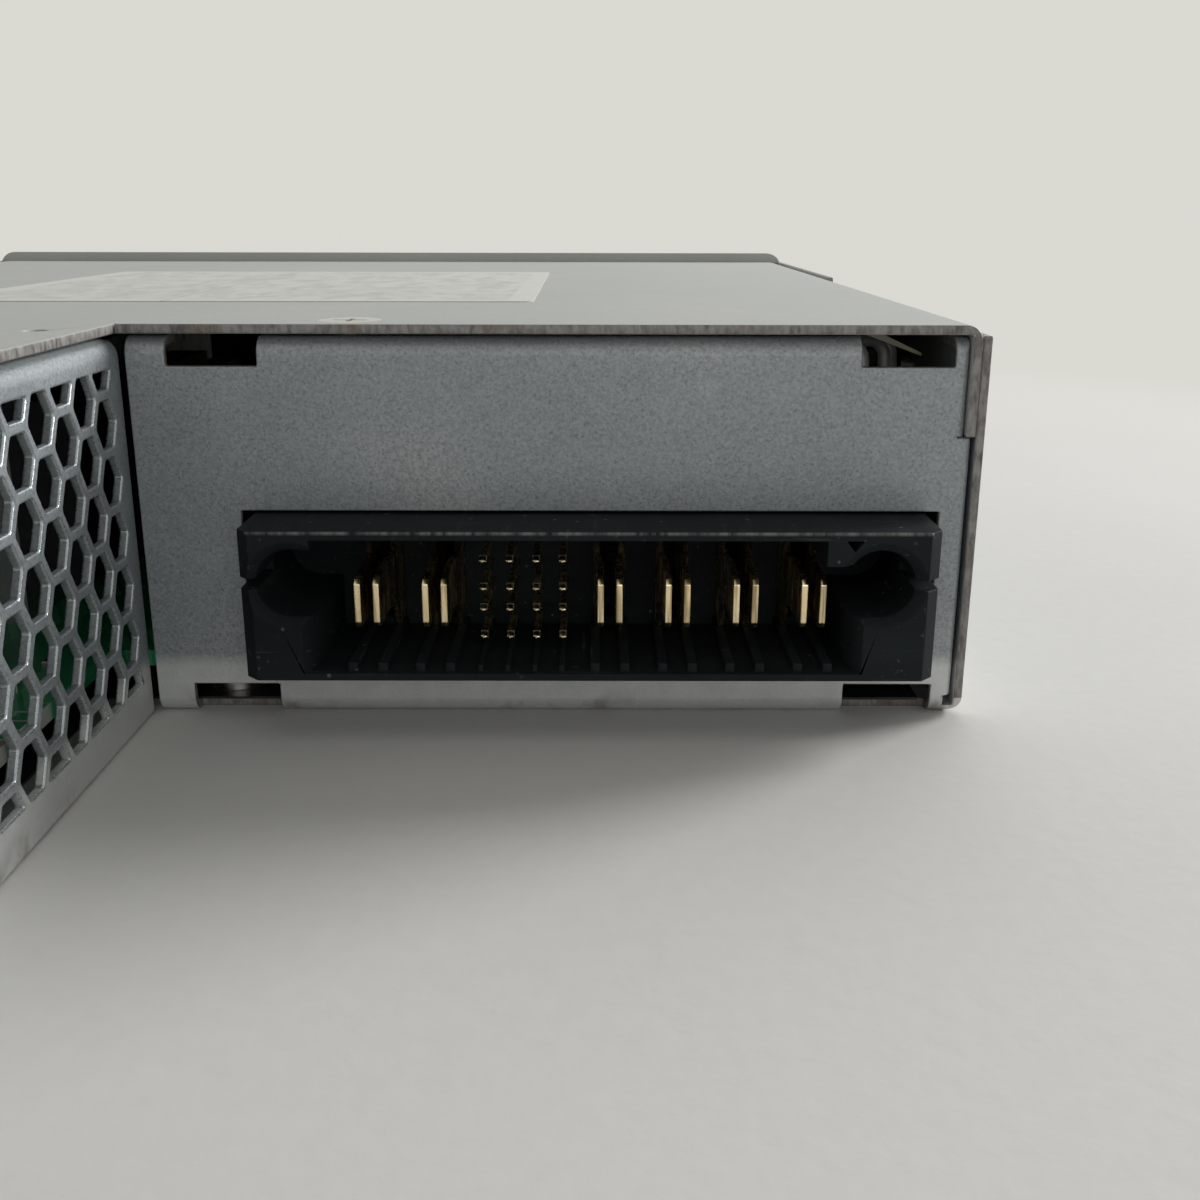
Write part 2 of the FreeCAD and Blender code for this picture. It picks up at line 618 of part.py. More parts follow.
# ---------------------------------------------------------------- output connector
def connector_shell():
    """Moulded shell with two guide sockets, a blade cavity and ribs along its floor."""
    body = body_at("connector_shell", SHELL_X, 0, BOARD)
    half = S["shell_width"] / 2
    tall = S["shell_height"]
    reach = S["shell_reach"]
    corner, lip, floor = 1.2, 0.8, 0.7
    plan = sketch_on(body, "XY_Plane")
    outline(plan, [(corner - half, -reach), (half - corner, -reach), (half, corner - reach),
                   (half, SHELL_BACK), (-half, SHELL_BACK), (-half, corner - reach)])
    pad(body, plan, tall)
    left, right, roof = -half + 6.7, half - 8.0, tall - lip
    step = tall - 3.2
    cavity = sketch_on(body, "XZ_Plane", reach)
    outline(cavity, [(left, floor), (right, floor), (right, step), (right - 2.6, step), (right - 2.6, roof),
                     (left, roof)])
    pocket(body, cavity, reach + CAVITY_BACK)
    radius = S["guide_radius"]
    level = tall - 5.05
    left_socket, right_socket = -half + 4.7, half - 5.4
    sockets = sketch_on(body, "XZ_Plane", reach)
    circle(sockets, left_socket, level, radius)
    circle(sockets, right_socket, level, radius)
    pocket(body, sockets, reach + CAVITY_BACK)
    throats = sketch_on(body, "XZ_Plane", reach)
    rectangle(throats, left_socket, level - radius, left + 0.5, level + radius)
    rectangle(throats, right - 0.5, level - radius, right_socket, level + 1.8)
    pocket(body, throats, reach + CAVITY_BACK)
    slits = sketch_on(body, "XZ_Plane", reach)
    rectangle(slits, -half - 1, level - 0.5, left_socket, level + 0.5)
    rectangle(slits, right_socket, level - 0.5, half + 1, level + 0.5)
    pocket(body, slits, reach)
    for x in (left_socket, right_socket):
        lead_in(body, x, level)
    block_edges = sketch_on(body, "XY_Plane", floor)
    for edge, side in ((left, -1), (right, 1)):
        outline(block_edges, [(edge, -reach), (edge + side * 1.1, -reach), (edge, 1.6 - reach)])
    pocket(body, block_edges, level - radius - floor + 0.1, backwards=True)
    key = sketch_on(body, "XZ_Plane", reach)
    outline(key, [(right - 0.9, roof), (right + 0.7, roof), (right - 0.1, roof - 1.0)])
    pocket(body, key, 4)
    ribs = sketch_on(body, "XZ_Plane", -CAVITY_BACK)
    for x in blade_places():
        for side in (-1.4, 1.4):
            rectangle(ribs, x + side - 0.45, floor - 0.1, x + side + 0.45, floor + 0.8)
    for x in pin_places():
        rectangle(ribs, x - 0.25, floor - 0.1, x + 0.25, floor + 0.6)
    pad(body, ribs, reach + CAVITY_BACK - lip)
    passages = sketch_on(body, "XZ_Plane", -CAVITY_BACK + 0.5)
    low, high = BLADE_LOW - BOARD, BLADE_LOW + S["blade_height"] - BOARD
    for x in blade_places():
        rectangle(passages, x - BLADE_FOOT, low - FOOT_DROP, x + BLADE_FOOT, high + FOOT_RISE)
    for x in pin_places():
        for row in PIN_ROWS:
            z = PIN_Z - BOARD + row
            rectangle(passages, x - PIN_HALF, z - PIN_HALF, x + PIN_HALF, z + PIN_HALF)
    pocket(body, passages, SHELL_BACK - CAVITY_BACK + 2)
    return body


def lead_in(body, x, z):
    """Cut the conical mouth of a guide socket."""
    mouth = body.newObject("PartDesign::SubtractiveCone", "LeadIn")
    mouth.setExpression("Radius1", (S["guide_radius"] + S["guide_lead"]).text)
    mouth.setExpression("Radius2", S["guide_radius"].text)
    mouth.setExpression("Height", S["guide_lead"].text)
    mouth.Placement.Rotation = FreeCAD.Rotation(FreeCAD.Vector(0, 0, 1), FreeCAD.Vector(0, 1, 0))
    place(mouth, x, -S["shell_reach"], z)


BLADE_HALF = S["blade_thick"] / 2
PIN_HALF = S["pin_width"] / 2
BLADE_LOW = BOARD + 4.55
BLADE_FOOT = BLADE_HALF + S["blade_flare"]
FOOT_DROP = 3.0
FOOT_RISE = 1.4
PIN_Z = BOARD + 6.5
PIN_ROWS = (-3.78, -1.03, 1.03, 3.78)


def blade_places():
    """Middles of the power blades from the middle of the shell."""
    pitch = S["blade_pitch"]
    first_pair = [-20.85 + pitch * step for step in range(2)]
    other_four = [1.9 + pitch * step for step in range(4)]
    return first_pair + other_four


def pin_places():
    """Middles of the signal pin columns from the middle of the shell."""
    return [-10.25 + S["pin_pitch"] * step for step in range(4)]


def common_of(label, plan, plan_length, side, side_length):
    """What two extruded outlines share: one drawn in plan, one drawn from the side."""
    ingredients = []
    for sketch, direction, length in ((plan, (0, 0, 1), plan_length), (side, (1, 0, 0), side_length)):
        extrusion = doc.addObject("Part::Extrusion", "Extrusion")
        extrusion.Base = sketch
        extrusion.Dir = FreeCAD.Vector(*direction)
        extrusion.DirMode = "Custom"
        extrusion.Solid = True
        extrusion.setExpression("LengthFwd", Size.of(length).text)
        ingredients.append(extrusion)
    shared = doc.addObject("Part::MultiCommon", "Shared")
    shared.Shapes = ingredients
    return finish(label, shared)


def free_sketch(x, y, z, upright=False):
    """A sketch of its own, flat at z or upright in the YZ plane at x."""
    sketch = doc.addObject("Sketcher::SketchObject", "Sketch")
    if upright:
        sketch.Placement.Rotation = FreeCAD.Rotation(0.5, 0.5, 0.5, 0.5)
    place(sketch, x, y, z)
    return sketch


def power_blades():
    """Six power blades, each of two leaves that step out to a taller foot with board tails."""
    plan = free_sketch(0, 0, 0)
    back = SHELL_BACK + 5
    leaf = S["leaf_thick"]
    bend_start, bend_end = Size.of(0.8), Size.of(3.6)
    for x in blade_places():
        middle = SHELL_X + x
        for side in (-1, 1):
            outer, inner = middle + BLADE_HALF * side, middle + (BLADE_HALF - leaf) * side
            foot_outer, foot_inner = middle + BLADE_FOOT * side, middle + (BLADE_FOOT - leaf) * side
            outline(plan, [(outer, -20), (inner, -20), (inner, bend_start), (foot_inner, bend_end),
                           (foot_inner, back + 20), (foot_outer, back + 20), (foot_outer, bend_end),
                           (outer, bend_start)])
    side = free_sketch(0, 0, 0, upright=True)
    low, high = BLADE_LOW, BLADE_LOW + S["blade_height"]
    tip = 1.84 - S["shell_reach"]
    tail = BOARD - S["board_thick"] - 0.8
    outline(side, [(tip, low + 0.6), (tip + 0.5, low), (3.4, low), (4.6, low - FOOT_DROP),
                   (SHELL_BACK + 1, low - FOOT_DROP), (SHELL_BACK + 1, tail), (back, tail), (back, high),
                   (SHELL_BACK + 0.5, high + FOOT_RISE), (4.6, high + FOOT_RISE), (3.4, high),
                   (tip + 3.5, high), (tip + 0.5, high - 0.2), (tip, high - 0.7)])
    return common_of("power_blades", plan, 40, side, S["case_width"] / 2)


def signal_pins():
    """Four columns of four right-angled pins; the higher a row, the further back it turns down."""
    plan = free_sketch(0, 0, 0)
    for x in pin_places():
        rectangle(plan, SHELL_X + x - PIN_HALF, -20, SHELL_X + x + PIN_HALF, 40)
    side = free_sketch(0, 0, 0, upright=True)
    tip = 5.0 - S["shell_reach"]
    low = BOARD - S["board_thick"] - 0.8
    for row in range(4):
        z = PIN_Z + PIN_ROWS[row]
        turn_y = SHELL_BACK + 1 + S["pin_pitch"] * row
        outline(side, [(tip, z - 0.1), (tip + 0.8, z - PIN_HALF), (turn_y, z - PIN_HALF), (turn_y, low),
                       (turn_y + S["pin_width"], low), (turn_y + S["pin_width"], z + PIN_HALF),
                       (tip + 0.8, z + PIN_HALF), (tip, z + 0.1)])
    return common_of("signal_pins", plan, 40, side, S["case_width"] / 2)


# ---------------------------------------------------------------- boards
def board_outline(sketch, inset=0):
    """The L-shaped outline of the main board, drawn in from the walls of the case."""
    left = LEG_LEFT + inset
    right = SIDE - 3.4 - inset
    leg_right = CORNER - 4.5 - inset
    beside_fans = FAN_RIGHT_X + S["fan_size"] / 2 + 3
    outline(sketch, [(left, LEG_END + 2 + inset), (leg_right, LEG_END + 2 + inset), (leg_right, 1.2 + inset),
                     (right, 1.2 + inset), (right, LATCH_Y - 9 - inset), (right - 9, LATCH_Y - 9 - inset),
                     (right - 9, FAN_BACK + 3 - inset), (beside_fans, FAN_BACK + 3 - inset),
                     (beside_fans, FAN_BACK - 3 - inset), (left, FAN_BACK - 3 - inset)])


def main_board():
    """The main board, with holes for its screws, the blade tails and the pin tails."""
    body = body_at("main_board", 0, 0, BOARD - S["board_thick"])
    plate = sketch_on(body, "XY_Plane")
    board_outline(plate)
    pad(body, plate, S["board_thick"])
    holes = sketch_on(body, "XY_Plane", S["board_thick"] + 1)
    for x, y in STANDOFF_PLACES:
        circle(holes, x, y, 1.5)
    for x in blade_places():
        rectangle(holes, SHELL_X + x - BLADE_FOOT, SHELL_BACK + 1, SHELL_X + x + BLADE_FOOT, SHELL_BACK + 5)
    pocket(body, holes, S["board_thick"] + 2)
    pins = sketch_on(body, "XY_Plane", S["board_thick"] + 1)
    first = SHELL_X + pin_places()[0]
    for row in range(4):
        y = SHELL_BACK + 1 + S["pin_pitch"] * row
        rectangle(pins, first - PIN_HALF, y, first + PIN_HALF, y + S["pin_width"])
    cut_pins = pocket(body, pins, S["board_thick"] + 2)
    repeat(body, [cut_pins], pins, "H_Axis", S["pin_pitch"], 4)
    return body


def insulation_sheet():
    """The film between the main board and the floor."""
    body = body_at("insulation_sheet", 0, 0, SHEET)
    plate = sketch_on(body, "XY_Plane")
    board_outline(plate, 0.6)
    pad(body, plate, 0.25)
    holes = sketch_on(body, "XY_Plane", 1)
    for x, y in STANDOFF_PLACES:
        circle(holes, x, y, 2.8)
    pocket(body, holes, 2)
    return body


def standoffs():
    """Threaded pillars between the floor and the main board."""
    pillars = []
    for x, y in STANDOFF_PLACES:
        pillar = cylinder(x, y, SHEET, 2.5, BOARD - S["board_thick"] - SHEET)
        pillars.append(cut(pillar, cylinder(x, y, SHEET - 1, 1.25, BOARD)))
    return finish("standoffs", grouped(pillars))


def board_screws():
    """Pan-headed screws that hold the main board."""
    screws = []
    for x, y in STANDOFF_PLACES:
        head = cylinder(x, y, BOARD, 2.6, 1.6)
        screws.append(fused([head, cylinder(x, y, SHEET + 0.4, 1.25, BOARD)]))
    return finish("board_screws", grouped(screws))


def control_board():
    """The upright board that carries the control chips."""
    return finish("control_board", block(0, 22, BOARD, 1.2, 66, BOARD + 24))


def control_chips():
    """Flat packages on the control board."""
    chips = [block(1.2, 26 + 13 * step, BOARD + 6, 2.6, 35 + 13 * step, BOARD + 15) for step in range(3)]
    return finish("control_chips", grouped(chips))


# ---------------------------------------------------------------- power electronics
def bulk_capacitors():
    """Two large cans that lie along the leg, each with a rolled groove near its base."""
    cans = []
    start = LEG_END + 10.6
    radius, length = S["can_radius"], S["can_length"]
    for x in (CAN_LEFT_X, CAN_RIGHT_X):
        ends = cylinder(x, start, CAN_Z, radius - 0.8, length, (0, 1, 0))
        base = cylinder(x, start + 1, CAN_Z, radius, 3, (0, 1, 0))
        can = cylinder(x, start + 6, CAN_Z, radius, length - 7, (0, 1, 0))
        cans.append(fused([ends, base, can]))
    return finish("bulk_capacitors", grouped(cans))


def toroid_core(label, x, y, low, high, outer, inner):
    """A plain ring core standing on its flat side."""
    disc = cylinder(x, y, low, outer, high - low)
    return finish(label, cut(disc, cylinder(x, y, low - 1, inner, high - low + 2)))


def toroid_winding(label, x, y, low, high, outer, inner, wire, turns):
    """Turns laid side by side around a ring core: a jacket with one round rib for each turn."""
    jacket = cut(cylinder(x, y, low - wire, outer + wire, high - low + 2 * wire),
                 cylinder(x, y, low - wire - 1, inner - wire, high - low + 2 * wire + 2))
    hollow = cut(cylinder(x, y, low, outer, high - low), cylinder(x, y, low - 1, inner, high - low + 2))
    ribs = []
    for step in range(turns):
        angle = 2 * math.pi * step / turns
        reach = outer + wire
        ribs.append(cylinder(x + reach * math.cos(angle), y + reach * math.sin(angle), low - wire * 0.5,
                             wire * 0.55, high - low + wire))
    return finish(label, cut(fused([jacket] + ribs), hollow))


def output_choke_core():
    """Ring core of the output choke, carried above the tails of the power blades."""
    return toroid_core("output_choke_core", CHOKE_X, CHOKE_Y, SHELL_TOP + 1.6, TOP - 3.7, 10.3, 5.2)


def output_choke_winding():
    """Heavy winding of the output choke."""
    low, high = SHELL_TOP + 1.6, TOP - 3.7
    return toroid_winding("output_choke_winding", CHOKE_X, CHOKE_Y, low, high, 10.3, 5.2, 1.2, 30)


def choke_stand():
    """Moulded stand that carries the output choke above the board, with a peg through its ring."""
    stand = block(CHOKE_X - 10, CHOKE_Y - 3, BOARD, CHOKE_X + 10, CHOKE_Y + 11.5, SHELL_TOP + 0.4)
    tunnel = block(CHOKE_X - 7.5, CHOKE_Y - 4, BOARD - 1, CHOKE_X + 7.5, CHOKE_Y + 10, SHELL_TOP - 1.4)
    peg = cylinder(CHOKE_X, CHOKE_Y + 1.2, SHELL_TOP, 2.6, 10)
    return finish("choke_stand", fused([cut(stand, tunnel), peg]))


def pfc_choke_core():
    """Ring core of the power-factor choke."""
    return toroid_core("pfc_choke_core", LINE_X, Size.of(28), BOARD + 2.5, BOARD + 22, 15, 8)


def pfc_choke_winding():
    """Winding of the power-factor choke."""
    return toroid_winding("pfc_choke_winding", LINE_X, Size.of(28), BOARD + 2.5, BOARD + 22, 15, 8, 1.5, 28)


def line_choke_core():
    """Ring core of the line choke."""
    return toroid_core("line_choke_core", LINE_X, REAR + 88, BOARD + 2.5, BOARD + 18, 12, 6.5)


def line_choke_windings():
    """Two half windings of the line choke, kept apart across the ring."""
    x, y = LINE_X, REAR + 88
    jacket = cut(cylinder(x, y, BOARD + 1, 13.5, 18.5), cylinder(x, y, BOARD, 5, 20.5))
    hollow = cut(cylinder(x, y, BOARD + 2.5, 12, 15.5), cylinder(x, y, BOARD + 1, 6.5, 20))
    parting = block(x - 2, y - 18, BOARD, x + 2, y + 18, BOARD + 22)
    return finish("line_choke_windings", cut(jacket, fused([hollow, parting])))


def output_capacitors():
    """Upright cans beside the output connector."""
    cans = []
    for column in range(3):
        for line in range(2):
            x, y = SHELL_X - 28.7 + 11 * column, SHELL_BACK + 15 + 11 * line
            cans.append(cylinder(x, y, BOARD, 5, 18))
    return finish("output_capacitors", grouped(cans))


TRANSFORMER_X = SHELL_X + 1.3


def transformer_core():
    """Ferrite frame of the main transformer: two side limbs, a middle limb and two yokes."""
    x, y = TRANSFORMER_X, REAR + 54
    outer = block(x, y, BOARD + 4, x + 30, y + 32, BOARD + 26)
    windows = [block(x + start, y + 6, BOARD + 8.5, x + stop, y + 26, BOARD + 21.5)
               for start, stop in ((-1, 10), (20, 31))]
    return finish("transformer_core", cut(outer, fused(windows)))


def transformer_winding():
    """Wound bobbin around the middle limb, seen through both windows, with its pin rail."""
    x, y = TRANSFORMER_X, REAR + 54
    left = block(x + 0.5, y + 6.3, BOARD + 8.8, x + 10, y + 25.7, BOARD + 21.2)
    right = block(x + 20, y + 6.3, BOARD + 8.8, x + 29.5, y + 25.7, BOARD + 21.2)
    rail = block(x + 1, y + 1, BOARD, x + 29, y + 31, BOARD + 4)
    return finish("transformer_winding", grouped([left, right, rail]))


def standby_transformer():
    """Small transformer of the standby supply."""
    x, y = LINE_X + 7, REAR + 59
    core = block(x - 9, y - 3, BOARD + 3, x + 9, y + 3, BOARD + 19)
    winding = block(x - 7, y - 7, BOARD, x + 7, y + 7, BOARD + 16)
    return finish("standby_transformer", fused([core, winding]))


def finned_sink(label, left, front, right, back, height, fins):
    """An extruded heat sink: a thick web with fins along its far side, standing on the board."""
    body = body_at(label, 0, 0, BOARD)
    profile = sketch_on(body, "XY_Plane")
    pitch = (back - front - 1.6) / (fins - 1)
    points = [(right, front), (right, back), (left, back)]
    for step in range(fins - 1, 0, -1):
        y = front + pitch * step
        points += [(left, y), (right - 3, y), (right - 3, y - pitch + 1.6), (left, y - pitch + 1.6)]
    points.append((left, front))
    outline(profile, points)
    pad(body, profile, height)
    return body


def primary_heat_sink():
    """Long finned extrusion in line with the air flow."""
    return finned_sink("primary_heat_sink", SINK_X - 15, Size.of(10), SINK_X, REAR + 84, 27, 7)


def primary_transistors():
    """Flat power packages clamped to the web of the primary heat sink."""
    packages = [block(SINK_X, 14 + 18 * step, BOARD + 3, SINK_X + 4.8, 29 + 18 * step, BOARD + 23)
                for step in range(3)]
    return finish("primary_transistors", grouped(packages))


def bridge_rectifier():
    """Rectifier block at the end of the primary heat sink."""
    package = block(SINK_X, REAR + 69, BOARD + 2, SINK_X + 4.5, REAR + 83, BOARD + 20)
    return finish("bridge_rectifier", package)


def secondary_heat_sink():
    """Finned extrusion between the transformer and the output capacitors."""
    return finned_sink("secondary_heat_sink", SHELL_X - 32.7, REAR + 50, SHELL_X - 18.7, REAR + 86, 25, 5)


def secondary_transistors():
    """Power packages on the secondary heat sink."""
    x, y = SHELL_X - 18.7, REAR + 53
    packages = [block(x, y + 11 * step, BOARD + 3, x + 4.4, y + 9 + 11 * step, BOARD + 18)
                for step in range(3)]
    return finish("secondary_transistors", grouped(packages))


def film_capacitors():
    """Two box capacitors across the mains."""
    x, y = SHELL_X - 34.7, REAR + 92
    return finish("film_capacitors", grouped([block(x, y, BOARD, x + 26, y + 8, BOARD + 19),
                                              block(x, y + 11, BOARD, x + 26, y + 21, BOARD + 21)]))


def inrush_relay():
    """Relay that bridges the inrush resistor."""
    x, y = SHELL_X - 2.7, REAR + 92
    return finish("inrush_relay", block(x, y, BOARD, x + 20, y + 15, BOARD + 16))


def line_fuse():
    """Ceramic fuse with metal caps."""
    x, y, z = SHELL_X - 2.7, REAR + 114, BOARD + 4
    barrel = cylinder(x, y, z, 2.5, 20, (1, 0, 0))
    caps = [cylinder(x, y, z, 2.9, 5, (1, 0, 0)), cylinder(x + 15, y, z, 2.9, 5, (1, 0, 0))]
    legs = [cylinder(x + 1, y, BOARD, 0.5, 4), cylinder(x + 19, y, BOARD, 0.5, 4)]
    return finish("line_fuse", fused([barrel] + caps + legs))


def cover_film():
    """Insulating film under the cover, above the output choke, whose front edge curls down to the right."""
    thick = 0.3
    left, bend, right = SHELL_X + 3.3, SHELL_RIGHT - 6.2, SHELL_RIGHT + 0.2
    flat = block(left, 7.2, COVER_UNDER - thick, right, LATCH_Y - 55, COVER_UNDER)
    curl = doc.addObject("Sketcher::SketchObject", "Sketch")
    curl.Placement.Rotation = FreeCAD.Rotation(FreeCAD.Vector(1, 0, 0), 90)
    place(curl, 0, 9.0, 0)
    outline(curl, [(bend, COVER_UNDER - thick), (bend + 1.2, COVER_UNDER), (right, COVER_UNDER - 2.4),
                   (right, COVER_UNDER - 2.4 - thick), (bend + 1.0, COVER_UNDER - thick - 0.4)])
    strip = doc.addObject("Part::Extrusion", "Extrusion")
    strip.Base = curl
    strip.Dir = FreeCAD.Vector(0, -1, 0)
    strip.DirMode = "Custom"
    strip.Solid = True
    strip.LengthFwd = 1.8
    return finish("cover_film", fused([flat, strip]))


# ---------------------------------------------------------------- handle end
def front_panel():
    """The plate at the handle end, with fan perforations and cut-outs for inlet, latch and lights."""
    body = body_at("front_panel", 0, PANEL_BACK, 0)
    plate = sketch_on(body, "XZ_Plane")
    rectangle(plate, -SIDE, 0, SIDE, TOP + S["rim_height"])
    solid = pad(body, plate, SHEET, backwards=True)

    def upper_corner(edge, at):
        return runs_along(edge, 1) and near(at.z, TOP + S["rim_height"])

    round_edges(body, solid, 3, upper_corner)
    holes = sketch_on(body, "XZ_Plane", 1)
    half, tall = S["inlet_width"] / 2 + 0.1, S["inlet_height"] / 2 + 0.1
    rectangle(holes, INLET_X - half, INLET_Z - tall, INLET_X + half, INLET_Z + tall)
    rectangle(holes, LATCH_X - 6.5, LATCH_LOW - 0.8, LATCH_X + 2, LATCH_LOW + S["latch_tall"] + 0.8)
    for step in range(3):
        circle(holes, LIGHT_X, MIDDLE_Z - 9 + 9 * step, 1.3)
    for side in (-0.5, 0.5):
        circle(holes, HANDLE_X + S["handle_span"] * side, MIDDLE_Z - 4.5, 1.3)
        circle(holes, HANDLE_X + S["handle_span"] * side, MIDDLE_Z + 4.5, 1.3)
    for x in (FAN_LEFT_X, FAN_RIGHT_X):
        for dx, dz in FAN_SCREW_STEPS:
            circle(holes, x + dx, FAN_Z + dz, 1.4)
    pocket(body, holes, SHEET + 2, backwards=False)
    across, pitch, column = S["hex_width"], S["hex_row_pitch"], S["hex_column_pitch"]
    columns = int((S["fan_size"].value / 2 - 2.5) / column.value)
    cuts = []
    for step in range(-columns, columns + 1):
        rows = 2 * columns - abs(step)
        grille = sketch_on(body, "XZ_Plane", 1)
        for row in range(rows):
            level = FAN_Z + pitch * (row - (rows - 1) / 2)
            outline(grille, hexagon(across, FAN_LEFT_X + column * step, level))
        cuts.append(pocket(body, grille, SHEET + 2))
    repeat(body, cuts, grille, "H_Axis", FAN_RIGHT_X - FAN_LEFT_X, 2)
    return body


def fan_frame(label, x):
    """Square fan frame with a round bore, four screw holes and a strutted motor boss."""
    body = body_at(label, x, PANEL_BACK, FAN_Z)
    half = S["fan_size"] / 2
    depth = S["fan_depth"]
    square = sketch_on(body, "XZ_Plane")
    rectangle(square, -half, -half, half, half)
    circle(square, 0, 0, FAN_BORE)
    solid = pad(body, square, depth)

    def corner(edge, at):
        return runs_along(edge, 1) and near(abs(at.x), half) and near(abs(at.z), half)

    round_edges(body, solid, 2.5, corner)
    struts = sketch_on(body, "XZ_Plane", depth - 3)
    reach = FAN_BORE + 0.4
    outline(struts, [(-reach, -0.8), (reach, -0.8), (reach, 0.8), (-reach, 0.8)])
    pad(body, struts, 2.6)
    upright = sketch_on(body, "XZ_Plane", depth - 3)
    outline(upright, [(-0.8, -reach), (0.8, -reach), (0.8, reach), (-0.8, reach)])
    pad(body, upright, 2.6)
    boss = sketch_on(body, "XZ_Plane", depth - 3)
    circle(boss, 0, 0, S["hub_radius"])
    pad(body, boss, 3)
    tube = sketch_on(body, "XZ_Plane", 8)
    circle(tube, 0, 0, S["shaft_radius"] + 3)
    pad(body, tube, depth - 9)
    bore = sketch_on(body, "XZ_Plane", 4)
    circle(bore, 0, 0, S["shaft_radius"] + S["running_gap"])
    pocket(body, bore, depth - 6, backwards=True)
    holes = sketch_on(body, "XZ_Plane", -1)
    for dx, dz in FAN_SCREW_STEPS:
        circle(holes, dx, dz, 1.4)
    pocket(body, holes, depth + 2, backwards=True)
    return body


def left_fan_frame():
    """Fan frame beside the left wall."""
    return fan_frame("left_fan_frame", FAN_LEFT_X)


def right_fan_frame():
    """Fan frame beside the mains inlet."""
    return fan_frame("right_fan_frame", FAN_RIGHT_X)


def fan_rotor(label, x):
    """Hub cup with its shaft and seven twisted, hollow-curved blades."""
    body = body_at(label, x, PANEL_BACK, FAN_Z)
    hub_front, hub_back = Size.of(3.0), S["fan_depth"] - 3.6
    cup = 1.2
    hub = sketch_on(body, "XY_Plane")
    radius = S["hub_radius"]
    shaft = S["shaft_radius"]
    outline(hub, [(0, -hub_front), (radius, -hub_front), (radius, -hub_back), (radius - cup, -hub_back),
                  (radius - cup, -hub_front - 1.5), (shaft, -hub_front - 1.5), (shaft, -hub_back),
                  (0, -hub_back)])
    spin = body.newObject("PartDesign::Revolution", "Hub")
    spin.Profile = hub
    spin.ReferenceAxis = (hub, ["V_Axis"])
    spin.Angle = 360
    middle = (hub_front + hub_back) / 2
    root, tip = radius - 0.6, FAN_BORE - S["blade_gap"] - 0.7
    blade = body.newObject("PartDesign::AdditiveLoft", "Blade")
    profiles = []
    for reach, sweep, camber in ((root, 2.3, 0.7), (tip, 4.4, 1.3)):
        section = sketch_on(body, "XY_Plane", reach)
        blade_section(section, middle, sweep, camber)
        profiles.append(section)
    blade.Profile = profiles[0]
    blade.Sections = profiles[1:]
    blade.Ruled = True
    wheel = body.newObject("PartDesign::PolarPattern", "Blades")
    wheel.Originals = [blade]
    wheel.Axis = (hub, ["V_Axis"])
    wheel.Angle = 360
    wheel.Occurrences = 7
    body.Tip = wheel
    return body


def blade_section(sketch, middle, sweep, camber):
    """A thin curved blade section: two like arcs side by side, closed by two short ends."""
    half = S["blade_chord"] / 2
    thick = 0.9
    arcs = []
    for shift in (0, thick):
        ends = [(-sweep - shift, -middle - half), (sweep - shift, -middle + half)]
        first, last = [FreeCAD.Vector(x, y.value, 0) for x, y in ends]
        through = FreeCAD.Vector(camber - shift, -middle.value - camber * 0.2, 0)
        arc = sketch.addGeometry(Part.Arc(first, through, last))
        for point in (1, 2):
            at = sketch.getPoint(arc, point)
            x, y = min(ends, key=lambda end: abs(end[1].value - at.y))
            pin_down(sketch, "DistanceX", arc, point, x)
            pin_down(sketch, "DistanceY", arc, point, y)
        arcs.append(arc)
    for point in (1, 2):
        line = sketch.addGeometry(Part.LineSegment(*[sketch.getPoint(arc, point) for arc in arcs]))
        sketch.addConstraint(Sketcher.Constraint("Coincident", line, 1, arcs[0], point))
        sketch.addConstraint(Sketcher.Constraint("Coincident", line, 2, arcs[1], point))


def left_fan_rotor():
    """Rotor of the left fan."""
    return fan_rotor("left_fan_rotor", FAN_LEFT_X)


def right_fan_rotor():
    """Rotor of the right fan."""
    return fan_rotor("right_fan_rotor", FAN_RIGHT_X)


def fan_screws():
    """Pan-headed screws through the front panel into the fan frames."""
    screws = []
    for x in (FAN_LEFT_X, FAN_RIGHT_X):
        for dx, dz in FAN_SCREW_STEPS:
            head = cylinder(x + dx, FRONT, FAN_Z + dz, 2.4, 1.3, (0, 1, 0))
            screws.append(fused([head, cylinder(x + dx, FRONT, FAN_Z + dz, 1.4, 9, (0, -1, 0))]))
    return finish("fan_screws", grouped(screws))


def ac_inlet():
    """Mains inlet: flange outside the panel, body behind it, a cavity with two cut corners."""
    body = body_at("ac_inlet", INLET_X, FRONT, INLET_Z)
    half, tall = S["inlet_width"] / 2, S["inlet_height"] / 2
    flange = sketch_on(body, "XZ_Plane", -2.5)
    rectangle(flange, -half - 1.8, -tall - 1.8, half + 1.8, tall + 1.8)
    solid = pad(body, flange, 2.5)

    def rim(edge, at):
        return at.y > 2.4 or (runs_along(edge, 1) and abs(at.x) > 10)

    round_edges(body, solid, 0.8, rim)
    rear = sketch_on(body, "XZ_Plane")
    rectangle(rear, -half, -tall, half, tall)
    pad(body, rear, 20)
    cavity = sketch_on(body, "XZ_Plane", -3)
    wide, high, slope = half - 1.5, tall - 1.75, 4.5
    outline(cavity, [(-wide, high), (-wide, slope - high), (slope - wide, -high), (wide - slope, -high),
                     (wide, slope - high), (wide, high)])
    pocket(body, cavity, 3 + 16, backwards=True)
    passages = sketch_on(body, "XZ_Plane", -3)
    for dx, dz in INLET_PIN_PLACES:
        rectangle(passages, dx - 1, dz - 2, dx + 1, dz + 2)
    pocket(body, passages, 3 + 21, backwards=True)
    return body


INLET_PIN_PLACES = [(-7, -1), (7, -1), (0, 3)]


